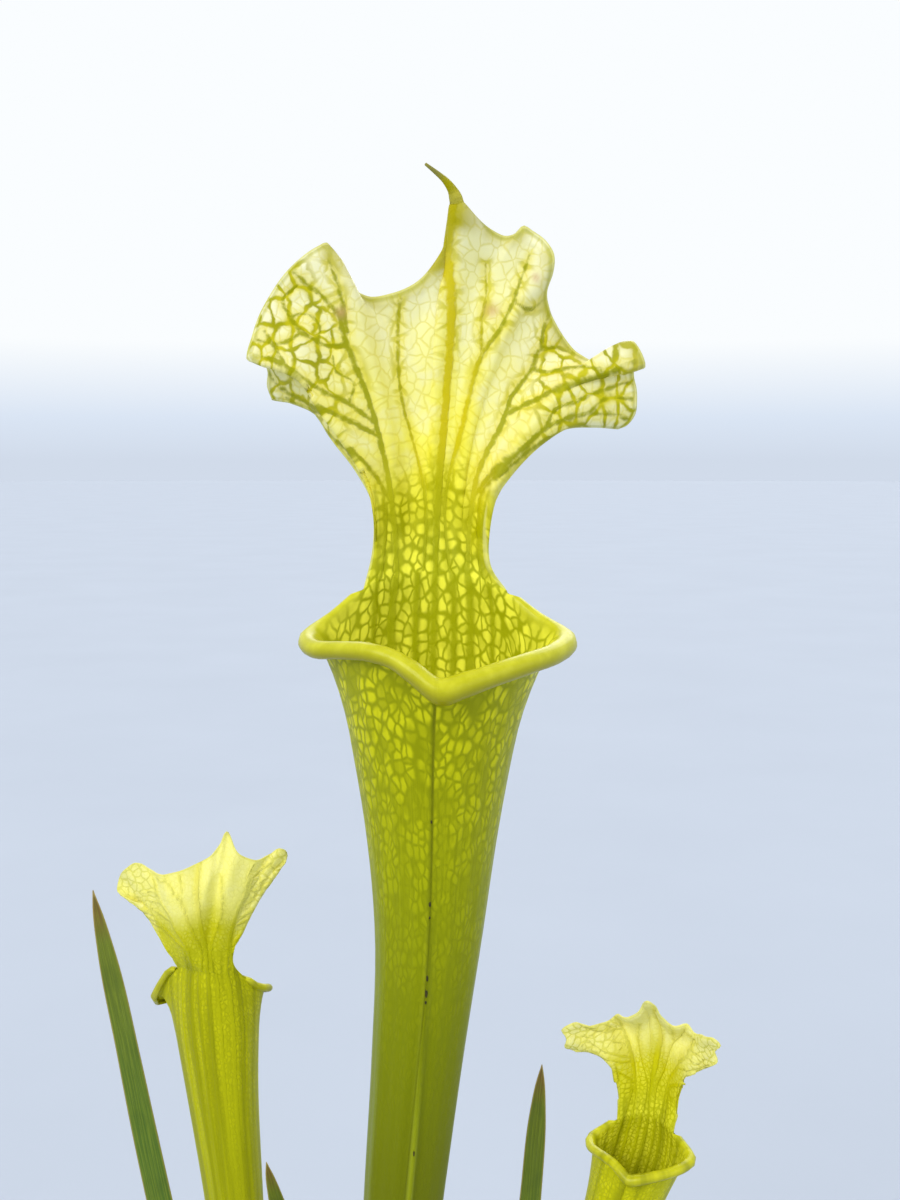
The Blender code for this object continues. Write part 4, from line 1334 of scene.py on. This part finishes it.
def mix_height(radius, angle):
    """Height of the mix's surface: a low mound, rough and a little hollow at the wall."""
    x, y = radius * math.cos(angle), radius * math.sin(angle)
    mound = 116.0 - 3.5 * (radius / 62.9) ** 2
    rough = 0.9 * noise.noise(Vector((x * 0.09, y * 0.09, 3.0)))
    rough += 0.5 * noise.noise(Vector((x * 0.35, y * 0.35, 9.0)))
    return mound + rough


def mix_surface(finish):
    """The potting mix from its rough top down to the pot's floor."""
    sides, rings = 180, 56
    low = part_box("potting_mix")[0].z / MM
    points = [(0.0, 0.0, mix_height(0, 0))]
    faces = []
    radii = [63.0 * (k / rings) for k in range(1, rings + 1)]
    for radius in radii:
        for k in range(sides):
            a = 2 * math.pi * k / sides
            points.append((radius * math.cos(a), radius * math.sin(a), mix_height(radius, a)))
    for z, radius in ((90.0, 60.0), (50.0, 55.2), (low, 49.2)):
        for k in range(sides):
            a = 2 * math.pi * k / sides
            points.append((radius * math.cos(a), radius * math.sin(a), z))
    count = rings + 3
    for k in range(sides):
        faces.append((0, 1 + k, 1 + (k + 1) % sides))
    for i in range(count - 1):
        a, b = 1 + i * sides, 1 + (i + 1) * sides
        for k in range(sides):
            n = (k + 1) % sides
            faces.append((a + k, b + k, b + n, a + n))
    start = 1 + (count - 1) * sides
    faces.append(tuple(start + k for k in reversed(range(sides))))
    return mesh_piece("potting_mix_body", points, faces, [finish])


def crumb(name, size, flat, seed, finish, detail=2):
    """A small irregular lump, the pattern for one kind of grain."""
    made = bmesh.new()
    bmesh.ops.create_icosphere(made, subdivisions=detail, radius=size * MM)
    for v in made.verts:
        push = 1 + 0.45 * noise.noise(Vector(v.co) / (size * MM) * 1.3 + Vector((seed, 0, 0)))
        v.co = Vector((v.co.x * push, v.co.y * push * 0.8, v.co.z * push * flat))
    mesh = bpy.data.meshes.new(name)
    made.to_mesh(mesh)
    made.free()
    mesh.materials.append(finish)
    obj = bpy.data.objects.new(name, mesh)
    bpy.context.scene.collection.objects.link(obj)
    return obj


def shoot(name, finish):
    """One moss shoot: a short stem set with spreading pointed leaves."""
    points, faces = [], []
    for level in range(4):
        z = 0.5 + level * 0.75
        long = 1.5 - level * 0.28
        for k in range(5):
            a = 2 * math.pi * (k / 5 + level * 0.13)
            out = np.array([math.cos(a), math.sin(a), 0])
            side = np.array([-math.sin(a), math.cos(a), 0]) * 0.28
            base = np.array([0, 0, z])
            start = len(points)
            points += [base - side, base + side, base + out * long + np.array([0, 0, 0.55])]
            points += [base + out * long * 0.45 + np.array([0, 0, -0.12])]
            faces += [(start, start + 3, start + 2), (start + 3, start + 1, start + 2)]
            faces += [(start, start + 1, start + 3), (start, start + 2, start + 1)]
    return mesh_piece(name, points, faces, [finish])


def scatter_tree(name, pattern, finish):
    """Geometry Nodes: copies of a pattern scattered over faces that point up."""
    tree = bpy.data.node_groups.new(name, "GeometryNodeTree")
    sizes = ("Density", "Seed", "Smallest", "Largest", "Tilt")
    tree.interface.new_socket("Bed", in_out="INPUT", socket_type="NodeSocketGeometry")
    for label in sizes:
        kind = "NodeSocketInt" if label == "Seed" else "NodeSocketFloat"
        tree.interface.new_socket(label, in_out="INPUT", socket_type=kind)
    tree.interface.new_socket("Grains", in_out="OUTPUT", socket_type="NodeSocketGeometry")

    def add(kind, values=None, **settings):
        return add_node(tree, kind, values, **settings)

    given = add("NodeGroupInput").outputs
    spread = add(
        "GeometryNodeDistributePointsOnFaces",
        {"Mesh": given["Bed"], "Density": given["Density"], "Seed": given["Seed"]},
    )
    size = add(
        "FunctionNodeRandomValue",
        {2: given["Smallest"], 3: given["Largest"], "Seed": given["Seed"]},
        data_type="FLOAT",
    )
    low = add("ShaderNodeMath", {0: given["Tilt"], 1: -1.0}, operation="MULTIPLY")
    lean_low = add("ShaderNodeCombineXYZ", {0: low.outputs[0], 1: low.outputs[0], 2: 0.0})
    lean_high = add(
        "ShaderNodeCombineXYZ", {0: given["Tilt"], 1: given["Tilt"], 2: 2 * math.pi}
    )
    turn = add(
        "FunctionNodeRandomValue",
        {0: lean_low.outputs[0], 1: lean_high.outputs[0], "Seed": given["Seed"]},
        data_type="FLOAT_VECTOR",
    )
    source = add("GeometryNodeObjectInfo", {"Object": pattern})
    copies = add(
        "GeometryNodeInstanceOnPoints",
        {
            "Points": spread.outputs["Points"],
            "Instance": source.outputs["Geometry"],
            "Rotation": turn.outputs[0],
            "Scale": size.outputs[1],
        },
    )
    real = add("GeometryNodeRealizeInstances", {"Geometry": copies.outputs[0]})
    dressed = add("GeometryNodeSetMaterial", {"Geometry": real.outputs[0], "Material": finish})
    smooth = add("GeometryNodeSetShadeSmooth", {0: dressed.outputs[0]})
    out = add("NodeGroupOutput")
    tree.links.new(smooth.outputs[0], out.inputs[0])
    return tree


def scatter(name, bed, pattern, finish, density, seed, smallest, largest, tilt, sink=0.0):
    """The scattered copies as one plain mesh piece."""
    tree = scatter_tree(name, pattern, finish)
    obj = bpy.data.objects.new(name, bed.data.copy())
    bpy.context.scene.collection.objects.link(obj)
    modifier = obj.modifiers.new("scatter", "NODES")
    modifier.node_group = tree
    wanted = {
        "Density": float(density),
        "Seed": seed,
        "Smallest": smallest,
        "Largest": largest,
        "Tilt": tilt,
    }
    for item in tree.interface.items_tree:
        if item.name in wanted:
            modifier[item.identifier] = wanted[item.name]
    baked(obj)
    if sink:
        obj.data.transform(Matrix.Translation((0, 0, -sink * MM)))
    if not obj.data.materials:
        obj.data.materials.append(finish)
    return obj


def bed_patch(name, accept, lift=0.0):
    """A part of the mix's surface, kept where accept(x, y) is true, as a bed for grains."""
    points, faces, index = [], [], {}
    step = 1.6
    reach = int(62 / step)

    def corner(i, j):
        if (i, j) not in index:
            x, y = i * step, j * step
            z = mix_height(math.hypot(x, y), math.atan2(y, x)) + lift
            index[i, j] = len(points)
            points.append((x, y, z))
        return index[i, j]

    for i in range(-reach, reach):
        for j in range(-reach, reach):
            x, y = (i + 0.5) * step, (j + 0.5) * step
            if math.hypot(x, y) < 60.5 and accept(x, y):
                faces.append((corner(i, j), corner(i + 1, j), corner(i + 1, j + 1), corner(i, j + 1)))
    return mesh_piece(name, points, faces, [])


def off_crown(x, y):
    return ((x + 5) / 31.5) ** 2 + ((y - 4) / 20.5) ** 2 > 1


# Moss cushions: x, y and radius.
MOSS = [(-38, 12, 11), (-30, -18, 9), (27, 20, 10), (8, -24, 8), (34, -8, 6), (-8, 30, 9)]


def mossy(x, y):
    """True where a moss cushion grows, with a ragged outline."""
    for cx, cy, radius in MOSS:
        ragged = 1 + 0.5 * noise.noise(Vector((x * 0.12, y * 0.12, 5.0)))
        if math.hypot(x - cx, y - cy) < radius * ragged:
            return off_crown(x, y)
    return False


def remove(*objects):
    for obj in objects:
        bpy.data.objects.remove(obj, do_unlink=True)


def ground_cover():
    """Grains, fibres and moss on the mix."""
    bark = grain_finish("bark", tint(58, 38, 26), tint(122, 84, 54))
    perlite = grain_finish("perlite", tint(206, 202, 192), tint(240, 238, 232), 0.95)
    grit = grain_finish("grit", tint(120, 108, 92), tint(188, 176, 156), 0.8)
    moss = grain_finish("moss", tint(70, 98, 18), tint(142, 164, 46), 0.85, 300)
    open_bed = bed_patch("open_bed", off_crown)
    moss_bed = bed_patch("moss_bed", mossy, 0.2)
    # Pattern, finish, grains per square metre, seed, smallest and largest size, and tilt.
    patterns = {
        "peat_crumbs": (crumb("crumb", 1.0, 0.7, 1, bark, 1), bark, 260000, 3, 0.35, 1.25, 0.6),
        "bark_chips": (crumb("chip", 2.6, 0.28, 8, bark), bark, 14000, 5, 0.5, 1.2, 0.35),
        "perlite_grains": (crumb("pearl", 1.5, 0.85, 4, perlite), perlite, 13000, 7, 0.3, 1.05, 3.0),
        "grit_grains": (crumb("stone", 1.0, 0.7, 6, grit, 1), grit, 42000, 9, 0.35, 1.1, 3.0),
    }
    for name, (pattern, finish, density, seed, smallest, largest, tilt) in patterns.items():
        piece = scatter(name, open_bed, pattern, finish, density, seed, smallest, largest, tilt, 0.1)
        keep(piece, slot="potting_mix")
        remove(pattern)
    tuft = shoot("tuft", moss)
    cushions = scatter("moss_cushions", moss_bed, tuft, moss, 1100000, 13, 0.6, 1.25, 0.5)
    keep(cushions, slot="potting_mix")
    remove(tuft, open_bed, moss_bed)


def pot(finish):
    """The pot: a tapered wall under a collar, with a rounded rim, foot ring and drain holes."""

    def wall(z):
        return 52.0 + 15.0 * z / 125.0

    def arc(cx, cz, radius, start, end, steps=6):
        angles = np.radians(np.linspace(start, end, steps + 1))
        return [(cx + radius * math.cos(a), cz + radius * math.sin(a)) for a in angles]

    profile = [(0.0, 2.0), *arc(wall(2) - 4.0, 4.0, 2.0, -90, 0)]
    profile += [(wall(z) - 2.0, z) for z in (30, 60, 90, 112)]
    profile += arc(66.2, 123.8, 1.2, 180, 90)
    profile += arc(68.9, 123.9, 1.1, 90, 0)
    profile += [(wall(116) + 3.0, 116.0), *arc(wall(108.8) + 2.2, 108.8, 0.8, 0, -90, 4)]
    profile += [(wall(107.6) + 0.5, 107.8), (wall(107) + 0.1, 107.0)]
    for z in (104.0, 60.0, 22.0):
        profile += [(wall(z) + 0.02, z + 0.6), (wall(z) - 0.22, z), (wall(z) + 0.02, z - 0.6)]
    profile += [(wall(1.4), 1.4), *arc(50.8, 1.2, 1.2, 0, -90, 4), (49.0, 0.0), (0.0, 0.0)]
    mesh = bpy.data.meshes.new("pot_body")
    count = len(profile)
    mesh.from_pydata(
        [(r * MM, 0.0, z * MM) for r, z in profile], [(i, i + 1) for i in range(count - 1)], []
    )
    obj = bpy.data.objects.new("pot_body", mesh)
    bpy.context.scene.collection.objects.link(obj)
    turn = obj.modifiers.new("turn", "SCREW")
    turn.steps = turn.render_steps = 160
    turn.use_merge_vertices = True
    turn.merge_threshold = 0.00001
    turn.use_smooth_shade = True
    cutters = []
    for i in range(6):
        a = 2 * math.pi * (i + 0.5) / 6
        bpy.ops.mesh.primitive_cylinder_add(
            vertices=40,
            radius=4.0 * MM,
            depth=8 * MM,
            location=(36 * math.cos(a) * MM, 36 * math.sin(a) * MM, 1 * MM),
        )
        cutter = bpy.context.object
        cutters.append(cutter)
        cut = obj.modifiers.new(f"drain_{i}", "BOOLEAN")
        cut.object = cutter
        cut.operation = "DIFFERENCE"
        cut.solver = "EXACT"
    baked(obj)
    remove(*cutters)
    obj.data.materials.clear()
    obj.data.materials.append(finish)
    obj.data.set_sharp_from_angle(angle=math.radians(40))
    return obj


# ---------------------------------------------------------------- room and camera
FLOOR_RADIUS = 30.0
WORLD_LIGHT = 0.54
# Colours of the sky by the sine of the height above the horizon.
SKY = tones((0.0, 209, 219, 234), (0.03, 218, 229, 244), (0.085, 250, 253, 255))
# Each light: the way to it, strength, spread in degrees and colour.
LIGHTS = {
    "key": ((-0.5, -0.65, 0.57), 1.6, 40, (1.0, 0.99, 0.96)),
    "fill": ((0.75, -0.6, 0.28), 0.6, 60, (0.97, 0.98, 1.0)),
    "back": ((0.2, 0.75, 0.64), 1.2, 50, (1.0, 1.0, 0.98)),
}
CAMERA_AT = (23.5 * MM, -330.2 * MM, 459.3 * MM)
CAMERA_TILT = math.radians(84)


def stage():
    """A plain pale floor, and a pale sky that only camera, mirror-like and clear rays see."""
    f = Finish("floor", roughness=0.9, specular=0.1)
    cloud = f.noise(f.place(), 3.0, 4.0)
    f.set(base_color=f.ramp(cloud, tones((0.3, 196, 205, 220), (0.7, 199, 208, 223))))
    bpy.ops.mesh.primitive_circle_add(vertices=96, radius=FLOOR_RADIUS, fill_type="NGON")
    floor = bpy.context.object
    floor.name = "floor"
    floor.data.materials.append(f.material)

    world = bpy.data.worlds.new("room")
    bpy.context.scene.world = world
    world.use_nodes = True
    tree = world.node_tree
    tree.nodes.clear()
    place = add_node(tree, "ShaderNodeTexCoord").outputs["Generated"]
    height = add_node(tree, "ShaderNodeSeparateXYZ", {0: place}).outputs["Z"]
    ramp = add_node(tree, "ShaderNodeValToRGB", {"Fac": height})
    set_stops(ramp, SKY)
    seen = add_node(
        tree, "ShaderNodeBackground", {"Color": ramp.outputs["Color"], "Strength": 1.0}
    )
    fill = add_node(
        tree,
        "ShaderNodeBackground",
        {"Color": (0.94, 0.97, 1.0, 1.0), "Strength": WORLD_LIGHT},
    )
    path = add_node(tree, "ShaderNodeLightPath")
    shown = path.outputs["Is Camera Ray"]
    for ray in ("Is Glossy Ray", "Is Transmission Ray"):
        values = {0: shown, 1: path.outputs[ray]}
        shown = add_node(tree, "ShaderNodeMath", values, operation="MAXIMUM").outputs[0]
    both = add_node(
        tree, "ShaderNodeMixShader", {0: shown, 1: fill.outputs[0], 2: seen.outputs[0]}
    )
    add_node(tree, "ShaderNodeOutputWorld", {"Surface": both.outputs[0]})


def soft_light(name, toward, strength, spread, colour):
    """A broad studio light, far off in the direction toward."""
    light = bpy.data.lights.new(name, "SUN")
    light.energy = strength
    light.angle = math.radians(spread)
    light.color = colour
    obj = bpy.data.objects.new(name, light)
    obj.rotation_euler = Vector(toward).to_track_quat("Z", "Y").to_euler()
    bpy.context.scene.collection.objects.link(obj)


def camera():
    data = bpy.data.cameras.new("camera")
    data.lens = 40.0
    data.sensor_width = 36.0
    obj = bpy.data.objects.new("camera", data)
    obj.location = CAMERA_AT
    obj.rotation_euler = (CAMERA_TILT, 0, 0)
    bpy.context.scene.collection.objects.link(obj)
    bpy.context.scene.camera = obj
    data.clip_start = 0.01


# ---------------------------------------------------------------- everything together
def main():
    camera()
    stage()
    for name, (toward, strength, spread, colour) in LIGHTS.items():
        soft_light(name, toward, strength, spread, colour)

    skins = [pitcher_finish("pitcher_outside", False), pitcher_finish("pitcher_inside", True)]
    young_skins = [
        pitcher_finish("young_outside", inside=False, warm=0.68),
        pitcher_finish("young_inside", inside=True, warm=0.6),
    ]
    young_head = Head(YOUNG_TUBE, "young", (0.46, 0.46, 0.38), 180)
    short_head = Head(SHORT_TUBE, "short", (0.42, 0.42, 0.34), -24)
    for node, tube, head, divisions, finishes in (
        ("tall_pitcher", TALL_TUBE, Head(TALL_TUBE), FINE_SHEET, skins),
        ("young_pitcher", YOUNG_TUBE, young_head, COARSE_SHEET, young_skins),
        ("short_pitcher", SHORT_TUBE, short_head, COARSE_SHEET, young_skins),
    ):
        leaf = pitcher(node + "_leaf", tube, head, divisions, finishes)
        keep(leaf, node, slot="pitcher_leaf")
    flecks = grain_finish("flecks", tint(40, 38, 8), tint(74, 66, 16), 0.6)
    keep(specks(flecks), slot="pitcher_leaf")

    sword = sword_finish()
    for name, (midline, top, half_width) in SWORD_LEAVES.items():
        keep(sword_leaf(name + "_blade", midline, top, half_width, sword), name, slot="sword_leaf")
    keep(spear(sword), "unopened_spear", slot="sword_leaf").name = "spear_leaf"
    dry = dry_finish()
    for index in (1, 2, 3):
        piece = trimmed_base(index, dry)
        keep(piece, f"trimmed_leaf_base_{index}", slot="dry_leaf_base").name = f"old_leaf_base_{index}"
    keep(crown(rhizome_finish()), "rhizome", slot="rhizome")
    keep(scales(dry), slot="dry_leaf_base")
    keep(mix_surface(mix_finish()), "potting_mix", slot="potting_mix")
    ground_cover()
    keep(pot(pot_finish()), "pot", slot="pot")

    bpy.context.scene.view_settings.view_transform = "Standard"


main()
